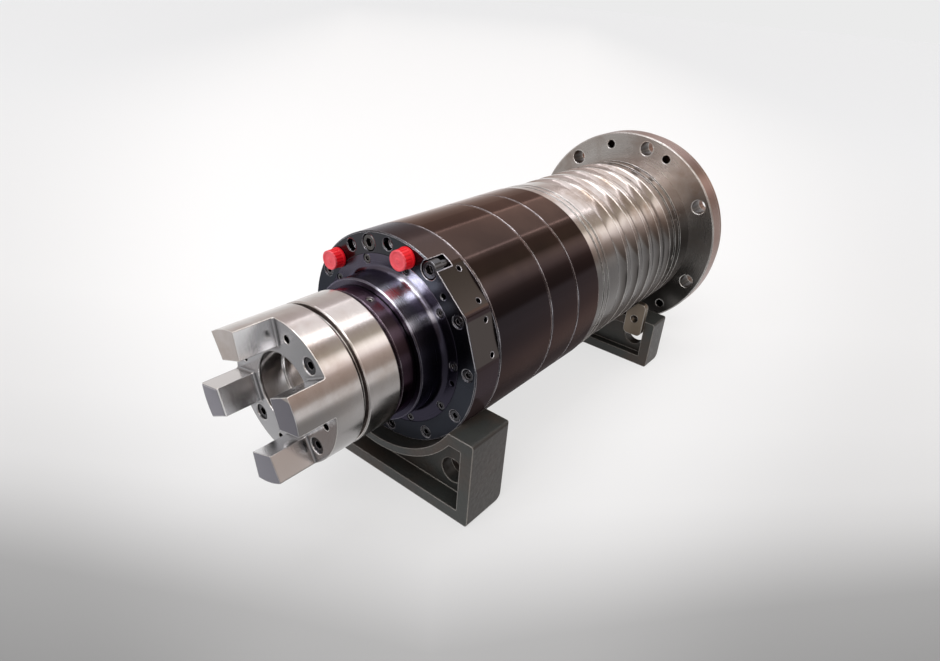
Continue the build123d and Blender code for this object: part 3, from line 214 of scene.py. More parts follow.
def dot_product(tree, first, second):
    """How far one vector reaches along another. Returns the output."""
    node = add_node(tree, "ShaderNodeVectorMath", operation="DOT_PRODUCT")
    feed(tree, node.inputs[0], first)
    feed(tree, node.inputs[1], second)
    return node.outputs["Value"]


def colour_ramp(tree, factor, stops):
    """A colour ramp whose stops are a place from 0 to 1 and a colour. Returns its output."""
    node = add_node(tree, "ShaderNodeValToRGB")
    feed(tree, node.inputs[0], factor)
    elements = node.color_ramp.elements
    while len(elements) < len(stops):
        elements.new(0.5)
    for element, (position, colour) in zip(elements, stops):
        element.position = position
        element.color = (*colour, 1)
    return node.outputs[0]


print("helpers for vectors ready")

# %% [markdown]
# ## Node groups
#
# An effect that several finishes share, such as corners brightened as wear and painted
# highlight, is built once as a node group. It has named inputs, so each material places the
# same group with its own numbers, and a change in the group reaches them all. Copying the
# nodes into every material would work too, but then each copy has to be changed by itself.

# %% Helpers for node groups
FLOAT, COLOUR, VECTOR = "NodeSocketFloat", "NodeSocketColor", "NodeSocketVector"
INPUT_KINDS = {float: FLOAT, tuple: COLOUR, type(None): VECTOR}


def new_group(name, inputs, outputs):
    """An empty shader group. An input is a number, a colour, or None for a vector."""
    group = bpy.data.node_groups.new(name, "ShaderNodeTree")
    for socket_name, value in inputs.items():
        socket = group.interface.new_socket(
            socket_name, in_out="INPUT", socket_type=INPUT_KINDS[type(value)]
        )
        if value is not None:
            socket.default_value = value
    for socket_name, kind in outputs.items():
        group.interface.new_socket(socket_name, in_out="OUTPUT", socket_type=kind)
    start = add_node(group, "NodeGroupInput")
    end = add_node(group, "NodeGroupOutput")
    return group, start.outputs, end.inputs


def place_group(tree, group, **values):
    """Places a node group in a material and feeds its named inputs. Returns its outputs."""
    return add_node(tree, "ShaderNodeGroup", node_tree=group, **values).outputs


print("kinds of input", len(INPUT_KINDS))

# %% [markdown]
# ## Grinding and turning marks
#
# A ground shaft carries very fine rings round its axis, and its end faces carry rings round
# their centre. One noise, stretched hard along the right direction, gives both. On the
# outside the noise changes with the distance along the axis, and on a face that looks along
# the axis it changes with the radius. The face's own direction picks between the two.

# %% Group for turned and ground metal
FACES_AXIS_ABOVE = 0.7


def make_turning_group():
    """Fine rings about the X axis, and the same rings at a slower pace."""
    group, given, end = new_group(
        "turning_marks",
        {"Vector": None, "Rings per Metre": 1500.0, "Breadth": 14.0},
        {"Rings": FLOAT, "Slow Rings": FLOAT},
    )
    x, y, z = axes(group, given["Vector"])
    geometry = add_node(group, "ShaderNodeNewGeometry")
    along_axis = scalar(group, "ABSOLUTE", axes(group, geometry.outputs["Normal"])[0])
    across_marks = add_node(
        group,
        "ShaderNodeMix",
        Factor=scalar(group, "GREATER_THAN", along_axis, FACES_AXIS_ABOVE),
        A=x,
        B=radius_about_axis(group, y, z),
    ).outputs[0]
    for output_name, pace in (("Rings", 1.0), ("Slow Rings", 0.08)):
        per_metre = scalar(group, "MULTIPLY", given["Rings per Metre"], pace)
        breadth = scalar(group, "MULTIPLY", given["Breadth"], pace)
        stretched = add_node(
            group,
            "ShaderNodeCombineXYZ",
            X=scalar(group, "MULTIPLY", across_marks, per_metre),
            Y=scalar(group, "MULTIPLY", y, breadth),
            Z=scalar(group, "MULTIPLY", z, breadth),
        )
        rings = noise(group, stretched.outputs[0], 1.0, 2.0, Roughness=0.6)
        feed(group, end[output_name], rings)
    return group


turning_marks = make_turning_group()
print("group", turning_marks.name)

# %% [markdown]
# ## Stains and oil
#
# Steel that has been handled is never one colour. A slow noise gives brownish patches, a
# quicker one breaks them up, and both change the gloss as well as the colour. The group
# takes the clean colour and the stain colour, so every metal can use it.

# %% Group for stains


def make_stain_group():
    """Mixes a clean and a stained colour by two noises, and puts out the stain as a mask."""
    group, given, end = new_group(
        "stains",
        {
            "Vector": None,
            "Clean": (0.6, 0.6, 0.6, 1),
            "Stained": (0.4, 0.3, 0.2, 1),
            "Size per Metre": 18.0,
            "Amount": 0.5,
        },
        {"Color": COLOUR, "Stain": FLOAT},
    )
    slow = noise(group, given["Vector"], given["Size per Metre"], 3.0, Roughness=0.55)
    quick_scale = scalar(group, "MULTIPLY", given["Size per Metre"], 7.0)
    quick = noise(group, given["Vector"], quick_scale, 5.0, Roughness=0.7)
    broken = scalar(group, "MULTIPLY", fade(group, slow, 0.42, 0.66, "LINEAR"), quick)
    doubled = scalar(group, "MULTIPLY", broken, 2.0, clamp=True)
    stain = scalar(group, "MULTIPLY", doubled, given["Amount"])
    colour = blend_colours(group, stain, given["Clean"], given["Stained"])
    feed(group, end["Color"], colour)
    feed(group, end["Stain"], stain)
    return group


stains = make_stain_group()
print("group", stains.name)

# %% [markdown]
# ## Bright corners, dark hollows and a darker underside
#
# Three effects are painted into the colour. Corners are brightened, partly as rubbed wear and
# partly as a painted highlight, which a Bevel node finds by looking at the surface round each
# point, whatever the mesh is like. Grooves and holes are darkened as grime and painted shade,
# which an Ambient Occlusion node finds. And steel below its axis is painted darker and
# browner, as shade. Painted masks could do all three, but they would have to be painted
# again after each change.

# %% Groups for bright corners, and for grime and shade in hollows


def make_bright_corner_group():
    """A mask of the corners, brightened as wear and painted highlight, and a normal that rounds
    them off.
    """
    group, given, end = new_group(
        "worn_and_highlit_corners",
        {"Vector": None, "Radius": 0.001, "Breaks": 0.5},
        {"Mask": FLOAT, "Normal": VECTOR},
    )
    rounded = add_node(group, "ShaderNodeBevel", samples=6, Radius=given["Radius"])
    flat = add_node(group, "ShaderNodeNewGeometry")
    likeness = dot_product(group, rounded.outputs[0], flat.outputs["Normal"])
    edge = scalar(group, "MULTIPLY", scalar(group, "SUBTRACT", 1.0, likeness), 14.0)
    patches = noise(group, given["Vector"], 90.0, 3.0)
    gone = scalar(group, "MULTIPLY", patches, given["Breaks"])
    left = scalar(group, "SUBTRACT", edge, gone)
    feed(group, end["Mask"], scalar(group, "MULTIPLY", left, 1.6, clamp=True))
    feed(group, end["Normal"], rounded.outputs[0])
    return group


def make_grime_and_shade_group():
    """A mask of grooves, holes and inner corners, where the colour is darkened as grime and
    painted shade.
    """
    group, given, end = new_group("grime_and_hollow_shade", {"Distance": 0.006, "Power": 1.5}, {"Mask": FLOAT})
    nearby = add_node(
        group,
        "ShaderNodeAmbientOcclusion",
        samples=6,
        only_local=True,
        Distance=given["Distance"],
    )
    open_share = scalar(group, "POWER", nearby.outputs["AO"], given["Power"])
    feed(group, end["Mask"], scalar(group, "SUBTRACT", 1.0, open_share, clamp=True))
    return group


worn_and_highlit_corners = make_bright_corner_group()
grime_and_hollow_shade = make_grime_and_shade_group()
print("groups", worn_and_highlit_corners.name, grime_and_hollow_shade.name)

# %% Group for the underside


def make_underside_group():
    """A mask that grows from the height Top down to the height Bottom, with a wavy edge."""
    group, given, end = new_group(
        "underside", {"Vector": None, "Top": 0.03, "Bottom": -0.02}, {"Mask": FLOAT}
    )
    patches = noise(group, given["Vector"], 26.0, 3.0)
    wavy = scalar(group, "MULTIPLY_ADD", patches, 0.012, -0.006)
    height = scalar(group, "ADD", axes(group, given["Vector"])[2], wavy)
    above = fade(group, height, given["Bottom"], given["Top"])
    feed(group, end["Mask"], scalar(group, "SUBTRACT", 1.0, above))
    return group


underside = make_underside_group()
print("group", underside.name)

# %% [markdown]
# ## Zones and painted highlight streaks
#
# Some places of a turned part have a finish of their own: the ground end faces of the claws,
# the painted rim of a flange, a groove darkened as grime and painted shade. Some are painted
# darker as shade. They could be separate material slots, but the frame's meshes keep one slot
# each. A zone is a place along the axis, between two radii and below a height, so one group
# covers them all. A painted highlight streak lies between two angles about the axis, with a
# soft and broken edge, and stands in for the reflection of a light.

# %% Groups for zones and streaks
STREAK_EDGE = 0.22


def make_zone_group():
    """1 between two places along X, between two radii about X, and below To Z, 0 elsewhere."""
    group, given, end = new_group(
        "zone",
        {
            "Vector": None,
            "From X": -1.0,
            "To X": 1.0,
            "Inner Radius": 0.0,
            "Outer Radius": 1.0,
            "To Z": 1.0,
        },
        {"Mask": FLOAT},
    )
    x, y, z = axes(group, given["Vector"])
    radius = radius_about_axis(group, y, z)
    mask = scalar(group, "GREATER_THAN", x, given["From X"])
    for value, operation, limit in (
        (x, "LESS_THAN", "To X"),
        (radius, "GREATER_THAN", "Inner Radius"),
        (radius, "LESS_THAN", "Outer Radius"),
        (z, "LESS_THAN", "To Z"),
    ):
        mask = scalar(group, "MULTIPLY", mask, scalar(group, operation, value, given[limit]))
    feed(group, end["Mask"], mask)
    return group


def make_highlight_streak_group():
    """A soft, broken mask between two angles about X, in degrees from +Y towards +Z, for a
    painted highlight.
    """
    group, given, end = new_group(
        "painted_highlight_streak",
        {"Vector": None, "From Angle": 100.0, "To Angle": 120.0},
        {"Mask": FLOAT},
    )
    _, y, z = axes(group, given["Vector"])
    degrees = scalar(group, "MULTIPLY", scalar(group, "ARCTAN2", z, y), 180 / pi)
    patches = noise(group, given["Vector"], 60.0, 3.0)
    wander = scalar(group, "MULTIPLY_ADD", patches, 8.0, -4.0)
    angle = scalar(group, "ADD", degrees, wander)
    mask = scalar(group, "MULTIPLY_ADD", patches, 0.8, 0.5)
    for limit, slope in (("From Angle", STREAK_EDGE), ("To Angle", -STREAK_EDGE)):
        past = scalar(group, "MULTIPLY", scalar(group, "SUBTRACT", angle, given[limit]), slope)
        inside = scalar(group, "ADD", past, 0.5, clamp=True)
        mask = scalar(group, "MULTIPLY", mask, inside)
    feed(group, end["Mask"], scalar(group, "MINIMUM", mask, 1.0))
    return group


zone = make_zone_group()
painted_highlight_streak = make_highlight_streak_group()
print("groups", zone.name, painted_highlight_streak.name)

# %% [markdown]
# ## The metals
#
# All bare metals share one recipe with different numbers: a stained colour, turning marks
# that change the gloss, grooves darkened as grime and painted shade, corners brightened as
# wear and painted highlight, and for some a painted shade below the axis. Turned steel
# mirrors a light as a streak across its marks, so the shader is anisotropic, with a tangent
# that runs round the spindle's axis. Metallic and Anisotropic stay on the shader's own
# sockets, apart from dusty undersides, where a mask lowers Metallic and with it the mirror
# image of the floor.

# %% A new material, and dust below


def new_material(name):
    """A new material with an empty graph, its Principled shader and its Object coordinates."""
    material = bpy.data.materials.new(name)
    material.use_nodes = True
    tree = material.node_tree
    tree.nodes.clear()
    shader = add_node(tree, "ShaderNodeBsdfPrincipled")
    add_node(tree, "ShaderNodeOutputMaterial", Surface=shader.outputs[0])
    coordinates = add_node(tree, "ShaderNodeTexCoord")
    return material, tree, shader.inputs, coordinates.outputs["Object"]


def dull_the_underside(tree, shader, place, share, top, bottom):
    """Lowers Metallic towards the height bottom, as a film of dust without gloss does."""
    dusty = place_group(tree, underside, Vector=place, Top=top, Bottom=bottom)[0]
    feed(tree, shader["Metallic"], scalar(tree, "MULTIPLY_ADD", dusty, -share, 1.0))
    shader["Specular IOR Level"].default_value = 0.0


print("helpers for materials ready")

# %% Zones of colour and turned surfaces
TANGENT_TURN = 0.25
MARK_HEIGHT = 0.0002


def paint_zones(tree, place, colour, zones, share):
    """A zone is a colour, a place from and to along X, two radii and the height it ends at."""
    for zone_colour, from_x, to_x, inner, outer, to_z in zones:
        area = place_group(
            tree,
            zone,
            Vector=place,
            From_X=from_x,
            To_X=to_x,
            Inner_Radius=inner,
            Outer_Radius=outer,
            To_Z=to_z,
        )[0]
        colour = blend_colours(tree, scalar(tree, "MULTIPLY", area, share), colour, zone_colour)
    return colour


def turn_surface(tree, shader, rings, corner_normal, strength, streak):
    """Raises the turning marks, rounds the corners and stretches the gloss across the marks."""
    bump = add_node(
        tree,
        "ShaderNodeBump",
        Strength=strength,
        Distance=MARK_HEIGHT,
        Height=rings,
        Normal=corner_normal,
    )
    feed(tree, shader["Normal"], bump.outputs[0])
    shader["Anisotropic"].default_value = streak
    shader["Anisotropic Rotation"].default_value = TANGENT_TURN
    tangent = add_node(tree, "ShaderNodeTangent", direction_type="RADIAL", axis="X")
    feed(tree, shader["Tangent"], tangent.outputs[0])


print("mark height", MARK_HEIGHT)

# %% Steel recipe


def make_steel(
    name,
    clean,
    stained,
    roughness,
    stain_amount=0.5,
    rings=1500.0,
    ring_gloss=0.12,
    ring_depth=0.2,
    corner=(0.9, 0.88, 0.85),
    corner_radius=0.0008,
    dark_share=0.0,
    dark_top=0.03,
    dark_bottom=-0.02,
    dark_from_radius=0.0,
    dull_share=0.0,
    grime_and_shade_colour=(0.05, 0.04, 0.035),
    grime_and_shade_reach=0.006,
    streak=0.5,
    zones=(),
):
    """Turned or ground bare steel, painted darker below as shade, and with zones of another
    colour.
    """
    material, tree, shader, place = new_material(name)
    shader["Metallic"].default_value = 1.0
    stain = place_group(
        tree, stains, Vector=place, Clean=clean, Stained=stained, Amount=stain_amount
    )
    marks = place_group(tree, turning_marks, Vector=place, Rings_per_Metre=rings)
    slow_share = scalar(tree, "MULTIPLY", marks["Slow Rings"], 0.35)
    tint = blend_colours(tree, slow_share, stain["Color"], stained)
    # Below the height dark_top the colour darkens towards dark_bottom: painted shade under the
    # axis.
    if dark_share > 0:
        below = place_group(tree, underside, Vector=place, Top=dark_top, Bottom=dark_bottom)[0]
        outside = place_group(tree, zone, Vector=place, Inner_Radius=dark_from_radius)[0]
        shaded_clean = tuple(value * (1 - dark_share) for value in clean)
        tint = blend_colours(tree, scalar(tree, "MULTIPLY", below, outside), tint, shaded_clean)
    if dull_share > 0:
        dull_the_underside(tree, shader, place, dull_share, 0.0, -0.045)
    tint = paint_zones(tree, place, tint, zones, 0.85)
    # Grooves, holes and inner corners darken towards this colour: grime and painted shade.
    hollow_grime_and_shade = place_group(tree, grime_and_hollow_shade, Distance=grime_and_shade_reach)[0]
    tint = blend_colours(tree, hollow_grime_and_shade, tint, grime_and_shade_colour)
    # Corners turn bright: partly rubbed wear, partly a painted highlight.
    bright_corners = place_group(tree, worn_and_highlit_corners, Vector=place, Radius=corner_radius)
    tint = blend_colours(tree, scalar(tree, "MULTIPLY", bright_corners["Mask"], 0.8), tint, corner)
    feed(tree, shader["Base Color"], tint)
    ring_share = scalar(tree, "MULTIPLY", marks["Rings"], ring_gloss)
    stain_share = scalar(tree, "MULTIPLY", stain["Stain"], 0.12)
    both = scalar(tree, "ADD", ring_share, stain_share)
    feed(tree, shader["Roughness"], scalar(tree, "ADD", both, roughness - ring_gloss / 2))
    turn_surface(tree, shader, marks["Rings"], bright_corners["Normal"], ring_depth, streak)
    return material


print("steel recipe ready")

# %% Plain steel inside the spindle
inner_steel = make_steel("inner_steel", (0.55, 0.55, 0.55), (0.40, 0.38, 0.35), 0.28, 0.2)
print("steel", inner_steel.name)

# %% The ground nose
claw_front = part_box("claw_ring")[0].x
claw_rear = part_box("claw_ring")[1].x
nose_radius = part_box("claw_ring")[1].z
claw_length = 0.032
nose_groove_width = 0.0048
nose_bore_radius = 0.024
skin = 0.0008
everywhere = 1.0
claw_floor = claw_front + claw_length
inside_nose = nose_radius - skin

end_faces = ((0.86, 0.86, 0.87), claw_front, claw_rear - 0.001, 0.0, inside_nose, everywhere)
floor_zone = (
    (0.34, 0.34, 0.355),
    claw_floor - 0.0006,
    claw_floor + 0.004,
    nose_bore_radius,
    inside_nose,
    everywhere,
)
# The claws' front ends below a height are painted darker and bluish: painted shade.
claw_end_shade = (
    (0.20, 0.20, 0.25), claw_front - 0.001, claw_front + 0.0006, 0.0, everywhere, 0.031
)
# The groove behind the claw ring is painted nearly black: grime and painted shade.
groove_grime_and_shade = (
    (0.05, 0.035, 0.035),
    claw_rear,
    claw_rear + nose_groove_width,
    0.04,
    nose_radius - 0.0012,
    everywhere,
)
ground_steel = make_steel(
    "ground_steel",
    (0.68, 0.65, 0.64),
    (0.46, 0.38, 0.33),
    0.16,
    0.6,
    corner_radius=0.0011,
    dark_share=0.5,
    dark_top=0.030,
    dark_bottom=-0.008,
    dark_from_radius=inside_nose,
    zones=(end_faces, floor_zone, claw_end_shade, groove_grime_and_shade),
)
print("nose radius", round(nose_radius, 4), "floor of the claws at", round(claw_floor, 4))

# %% Sleeve, flange and cover
flange_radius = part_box("mounting_flange")[1].y
flange_rim = ((0.24, 0.13, 0.10), 0.0015, 1.0, flange_radius - 0.0025, everywhere, everywhere)
sleeve_steel = make_steel(
    "sleeve_steel",
    (0.74, 0.68, 0.65),
    (0.36, 0.27, 0.21),
    0.14,
    0.9,
    900.0,
    ring_depth=0.3,
    dark_share=0.86,
    dark_top=0.088,
    dark_bottom=0.026,
    dull_share=0.85,
)
flange_steel = make_steel(
    "flange_steel",
    (0.44, 0.42, 0.40),
    (0.20, 0.14, 0.11),
    0.26,
    0.6,
    1200.0,
    corner_radius=0.0022,
    dark_share=0.66,
    dark_top=0.09,
    dark_bottom=-0.05,
    grime_and_shade_colour=(0.02, 0.017, 0.015),
    grime_and_shade_reach=0.02,
    zones=(flange_rim,),
)
cover_steel = make_steel(
    "cover_steel",
    (0.30, 0.20, 0.15),
    (0.20, 0.09, 0.06),
    0.30,
    0.9,
    900.0,
    corner_radius=0.0012,
    dark_share=0.6,
    dark_top=0.09,
    dark_bottom=-0.05,
)
print("flange radius", round(flange_radius, 4))

# %% The other metals
brass = make_steel("brass", (0.72, 0.52, 0.24), (0.45, 0.30, 0.12), 0.3, 0.3)
laminations = make_steel(
    "laminations",
    (0.30, 0.30, 0.31),
    (0.16, 0.14, 0.13),
    0.42,
    rings=2600.0,
    ring_gloss=0.25,
    ring_depth=0.8,
)
tan_steel = make_steel(
    "tan_steel",
    (0.21, 0.175, 0.14),
    (0.12, 0.09, 0.065),
    0.42,
    0.6,
    rings=300.0,
    ring_gloss=0.1,
    ring_depth=0.1,
)
plated = make_steel("plated", (0.30, 0.29, 0.28), (0.15, 0.13, 0.12), 0.30, 0.4, 800.0)
print("metals", brass.name, laminations.name, tan_steel.name, plated.name)

# %% [markdown]
# ## Black oxide
#
# The housing rings are blued and oiled. The film is thin, so the steel's own gloss comes
# through it: the surface mirrors its surroundings darkly, with brown and violet in it. A
# metal with a very dark colour does that better than a black paint, and an edge tint on the
# shader's own socket keeps the brown at a flat glance.

# %% Black oxide recipe
OXIDE_GRIME_AND_SHADE = (0.006, 0.006, 0.007)
# The bright corner colour is bare steel where rubbed, and also a painted highlight.
BRIGHT_CORNER = (0.72, 0.70, 0.74)


def make_black_oxide(
    name,
    top,
    side,
    patch,
    roughness,
    edge_tint,
    dark_top=0.085,
    dark_bottom=0.02,
    corner_radius=0.0018,
    corner_share=0.9,
    bright_corner_radii=(0.0, 1.0),
    dull_share=0.0,
    zones=(),
    highlight_streaks=(),
):
    """Oiled black oxide on steel: one colour above, a darker one as painted shade at the side and
    below, and slow patches.
    """
    material, tree, shader, place = new_material(name)
    shader["Metallic"].default_value = 1.0
    feed(tree, shader["Specular Tint"], edge_tint)
    if dull_share > 0:
        dull_the_underside(tree, shader, place, dull_share, 0.008, -0.032)
    stain = place_group(
        tree, stains, Vector=place, Clean=top, Stained=patch, Amount=0.8, Size_per_Metre=9.0
    )
    # Towards the bottom the top colour turns into the side colour: painted shade.
    below = place_group(tree, underside, Vector=place, Top=dark_top, Bottom=dark_bottom)[0]
    colour = blend_colours(tree, below, stain["Color"], side)
    colour = paint_zones(tree, place, colour, zones, 1.0)
    # Paler streaks between two angles: a painted highlight, the reflection of a light.
    for from_angle, to_angle, highlight_colour in highlight_streaks:
        highlight_mask = place_group(
            tree, painted_highlight_streak, Vector=place, From_Angle=from_angle, To_Angle=to_angle
        )[0]
        colour = blend_colours(tree, highlight_mask, colour, highlight_colour)
    # Grooves, holes and inner corners darken towards this colour: grime and painted shade.
    hollow_grime_and_shade = place_group(tree, grime_and_hollow_shade, Distance=0.004)[0]
    colour = blend_colours(tree, scalar(tree, "MULTIPLY", hollow_grime_and_shade, 0.8), colour, OXIDE_GRIME_AND_SHADE)
    # Corners inside the given radii turn bright: partly rubbed wear, partly a painted highlight.
    bright_corners = place_group(tree, worn_and_highlit_corners, Vector=place, Radius=corner_radius, Breaks=1.0)
    bright_corner_zone = place_group(
        tree, zone, Vector=place, Inner_Radius=bright_corner_radii[0], Outer_Radius=bright_corner_radii[1]
    )[0]
    bright_corner_share = scalar(tree, "MULTIPLY", scalar(tree, "MULTIPLY", bright_corners["Mask"], bright_corner_zone), corner_share)
    feed(tree, shader["Base Color"], blend_colours(tree, bright_corner_share, colour, BRIGHT_CORNER))
    marks = place_group(tree, turning_marks, Vector=place, Rings_per_Metre=900.0)
    rough = scalar(tree, "MULTIPLY_ADD", marks["Rings"], 0.08, roughness - 0.04)
    feed(tree, shader["Roughness"], rough)
    turn_surface(tree, shader, marks["Rings"], bright_corners["Normal"], 0.10, 0.4)
    return material


print("black oxide recipe ready")

# %% Black screws
black_screw = make_black_oxide(
    "black_screw",
    (0.10, 0.10, 0.105),
    (0.06, 0.06, 0.065),
    (0.12, 0.11, 0.10),
    0.22,
    (1.0, 1.0, 1.0),
    corner_radius=0.0006,
    corner_share=0.5,
)
print("black oxide", black_screw.name)

# %% Housing and front flange
housing_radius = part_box("front_bearing_housing")[1].y
flange_side = (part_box("front_flange")[0].x + 0.0012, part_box("front_flange")[1].x)
rim_radii = (housing_radius - skin, everywhere)
flat_radii = (0.0965, housing_radius - 0.0007)
rim_shade_top = 0.055

black_housing = make_black_oxide(
    "black_housing",
    (0.062, 0.043, 0.038),
    (0.023, 0.019, 0.022),
    (0.098, 0.066, 0.055),
    0.08,
    (0.78, 0.66, 0.62),
    dark_top=0.094,
    dark_bottom=0.045,
    corner_radius=0.0024,
    dull_share=0.88,
)
black_flange = make_black_oxide(
    "black_flange",
    (0.060, 0.066, 0.074),
    (0.036, 0.040, 0.050),
    (0.07, 0.065, 0.07),
    0.20,
    (0.6, 0.60, 0.64),
    corner_radius=0.0014,
    bright_corner_radii=(0.084, everywhere),
    dull_share=0.85,
    zones=(
        ((0.088, 0.062, 0.054), *flange_side, *rim_radii, everywhere),
        # The rim below a height is painted darker: painted shade.
        ((0.045, 0.032, 0.033), *flange_side, *rim_radii, rim_shade_top),
        ((0.078, 0.066, 0.061), *flange_side, *flat_radii, everywhere),
    ),
)
print("housing radius", round(housing_radius, 4))

# %% Cover and labyrinth ring
black_cover = make_black_oxide(
    "black_cover",
    (0.13, 0.12, 0.15),
    (0.036, 0.033, 0.048),
    (0.09, 0.08, 0.11),
    0.26,
    (0.7, 0.68, 0.8),
    dark_top=0.062,
    dark_bottom=0.03,
    corner_radius=0.0012,
    corner_share=0.35,
    bright_corner_radii=(0.0, 0.072),
    # Two paler streaks on the cover: painted highlights.
    highlight_streaks=((101, 121, (0.62, 0.62, 0.70)), (135, 142, (0.46, 0.46, 0.53))),
)
black_ring = make_black_oxide(
    "black_ring",
    (0.070, 0.050, 0.066),
    (0.026, 0.016, 0.022),
    (0.05, 0.030, 0.038),
    0.20,
    (0.7, 0.55, 0.65),
    dark_top=0.05,
    dark_bottom=0.0,
    corner_radius=0.0012,
    corner_share=0.4,
)
print("black finishes", black_cover.name, black_ring.name)

# %% [markdown]
# ## Cast iron
#
# The stands are sand castings with a thin, dull coat: the surface is lumpy at two sizes and the
# coat is worn to pale iron along the corners. A displaced mesh could show the lumps too, but
# they are so low that a bump on the shader's normal looks the same. The cheeks that face
# sideways are painted darker and browner, as shade.

# %% Cast stand finish
CASTING_LUMP = 0.0006


def make_cast_coat():
    """Dull grey-green coat on a sand casting."""
    material, tree, shader, place = new_material("cast_coat")
    stain = place_group(
        tree,
        stains,
        Vector=place,
        Clean=(0.036, 0.039, 0.037),
        Stained=(0.060, 0.040, 0.030),
        Size_per_Metre=14.0,
        Amount=0.9,
    )
    # Hollows darken towards this colour: grime and painted shade.
    hollow_grime_and_shade = place_group(tree, grime_and_hollow_shade, Distance=0.02)[0]
    colour = blend_colours(tree, hollow_grime_and_shade, stain["Color"], (0.016, 0.016, 0.014))
    # Faces that look sideways are painted darker and browner: painted shade.
    geometry = add_node(tree, "ShaderNodeNewGeometry")
    sideways = scalar(tree, "ABSOLUTE", axes(tree, geometry.outputs["Normal"])[1])
    painted_cheek_shade = scalar(tree, "MULTIPLY", sideways, 0.8, clamp=True)
    colour = blend_colours(tree, painted_cheek_shade, colour, (0.018, 0.012, 0.009))
    bright_corners = place_group(tree, worn_and_highlit_corners, Vector=place, Radius=0.0020, Breaks=1.1)
    bright_corner_share = scalar(tree, "MULTIPLY", bright_corners["Mask"], 0.6)
    feed(tree, shader["Base Color"], blend_colours(tree, bright_corner_share, colour, (0.46, 0.44, 0.41)))
    lumps = noise(tree, place, 220.0, 4.0)
    grains = noise(tree, place, 1400.0, 2.0)
    bump = add_node(
        tree,
        "ShaderNodeBump",
        Strength=0.5,
        Distance=CASTING_LUMP,
        Height=scalar(tree, "MULTIPLY_ADD", grains, 0.35, lumps),
        Normal=bright_corners["Normal"],
    )
    feed(tree, shader["Normal"], bump.outputs[0])
    feed(tree, shader["Roughness"], scalar(tree, "MULTIPLY_ADD", lumps, 0.25, 0.26))
    shader["Specular IOR Level"].default_value = 0.36
    return material


cast_coat = make_cast_coat()
print("casting lumps", CASTING_LUMP)

# %% [markdown]
# ## Plastic and resin
#
# Moulded plastic has a slight orange peel and a colour that is never quite even. The same
# recipe does for the black sensor, the resin on the windings and the red transport caps,
# whose end faces are painted paler as a sheen. What sits inside the housing is finished too,
# since the same part may be opened in another scene.

# %% Plastic recipe
PEEL_HEIGHT = 0.0002


def make_plastic(
    name, colour, shade, roughness, peel=900.0, depth=0.15, specular=0.5, sheen_end=None
):
    """Moulded plastic. The optional pale end is a colour and a place from and to along X, painted
    towards that colour as a sheen.
    """
    material, tree, shader, place = new_material(name)
    mottle = scalar(tree, "MULTIPLY", noise(tree, place, 120.0, 3.0), 0.5)
    colour = blend_colours(tree, mottle, colour, shade)
    if sheen_end:
        # The end face is painted paler: a painted sheen.
        sheen_colour, from_x, to_x = sheen_end
        end_face = place_group(tree, zone, Vector=place, From_X=from_x, To_X=to_x)[0]
        cloud = scalar(tree, "MULTIPLY_ADD", noise(tree, place, 260.0, 4.0), 0.5, 0.3)
        sheen_share = scalar(tree, "MULTIPLY", end_face, cloud)
        colour = blend_colours(tree, sheen_share, colour, sheen_colour)
    feed(tree, shader["Base Color"], colour)
    skin_noise = noise(tree, place, peel, 2.0)
    feed(tree, shader["Roughness"], scalar(tree, "MULTIPLY_ADD", skin_noise, 0.12, roughness))
    bump = add_node(
        tree, "ShaderNodeBump", Strength=depth, Distance=PEEL_HEIGHT, Height=skin_noise
    )
    feed(tree, shader["Normal"], bump.outputs[0])
    shader["Specular IOR Level"].default_value = specular
    return material


black_plastic = make_plastic("black_plastic", (0.02, 0.02, 0.02), (0.03, 0.03, 0.03), 0.45)
winding_resin = make_plastic(
    "winding_resin", (0.30, 0.10, 0.04), (0.18, 0.06, 0.03), 0.4, peel=300.0, depth=0.6
)
print("plastics", black_plastic.name, winding_resin.name)

# %% [markdown]
# ## Which node gets which finish
#
# The frame's objects come with plain materials. Each one keeps its mesh and gets a finish in
# its slot. A table from finish to nodes is easier to check than one call per node, and the
# last line names any node that was left out: only the two caps, which are modelled below.

# %% Give every node its finish
nodes_by_finish = {
    ground_steel: "spindle_shaft claw_ring",
    sleeve_steel: "cooling_sleeve",
    cover_steel: "rear_cover",
    flange_steel: "mounting_flange release_cylinder cylinder_cap rear_bearing_housing",
    black_housing: "front_bearing_housing middle_housing rear_ring",
    black_flange: "front_flange",
    black_cover: "bearing_cover",
    black_ring: "labyrinth_ring",
    black_screw: "bearing_cover_screws front_flange_screws flange_screws rear_cover_screws"
    " cylinder_screws claw_ring_screws stand_screws port_plug_bolt rim_bolt",
    plated: "hydraulic_fittings labyrinth_set_screws",
    cast_coat: "front_stand rear_stand",
    tan_steel: "clamp_lug",
    black_plastic: "encoder_sensor",
    winding_resin: "front_winding rear_winding",
    brass: "front_bearing_cages rear_bearing_cage",
    laminations: "stator_core rotor_core encoder_wheel",
    inner_steel: "front_bearing_outer_rings front_bearing_inner_rings front_bearing_balls"
    " front_outer_spacer front_inner_spacer rear_bearing_outer_ring rear_bearing_inner_ring"
    " rear_bearing_rollers front_locknut rear_locknut drawbar gripper disc_springs"
    " release_piston balancing_rings",
}


def give_finish(node_name, material):
    """Puts one material in a node's only slot."""
    nodes[node_name].data.materials.clear()
    nodes[node_name].data.materials.append(material)


finished = set()
for material, names in nodes_by_finish.items():
    for name in names.split():
        give_finish(name, material)
        finished.add(name)
print("nodes without a finish yet", sorted(set(nodes) - finished))

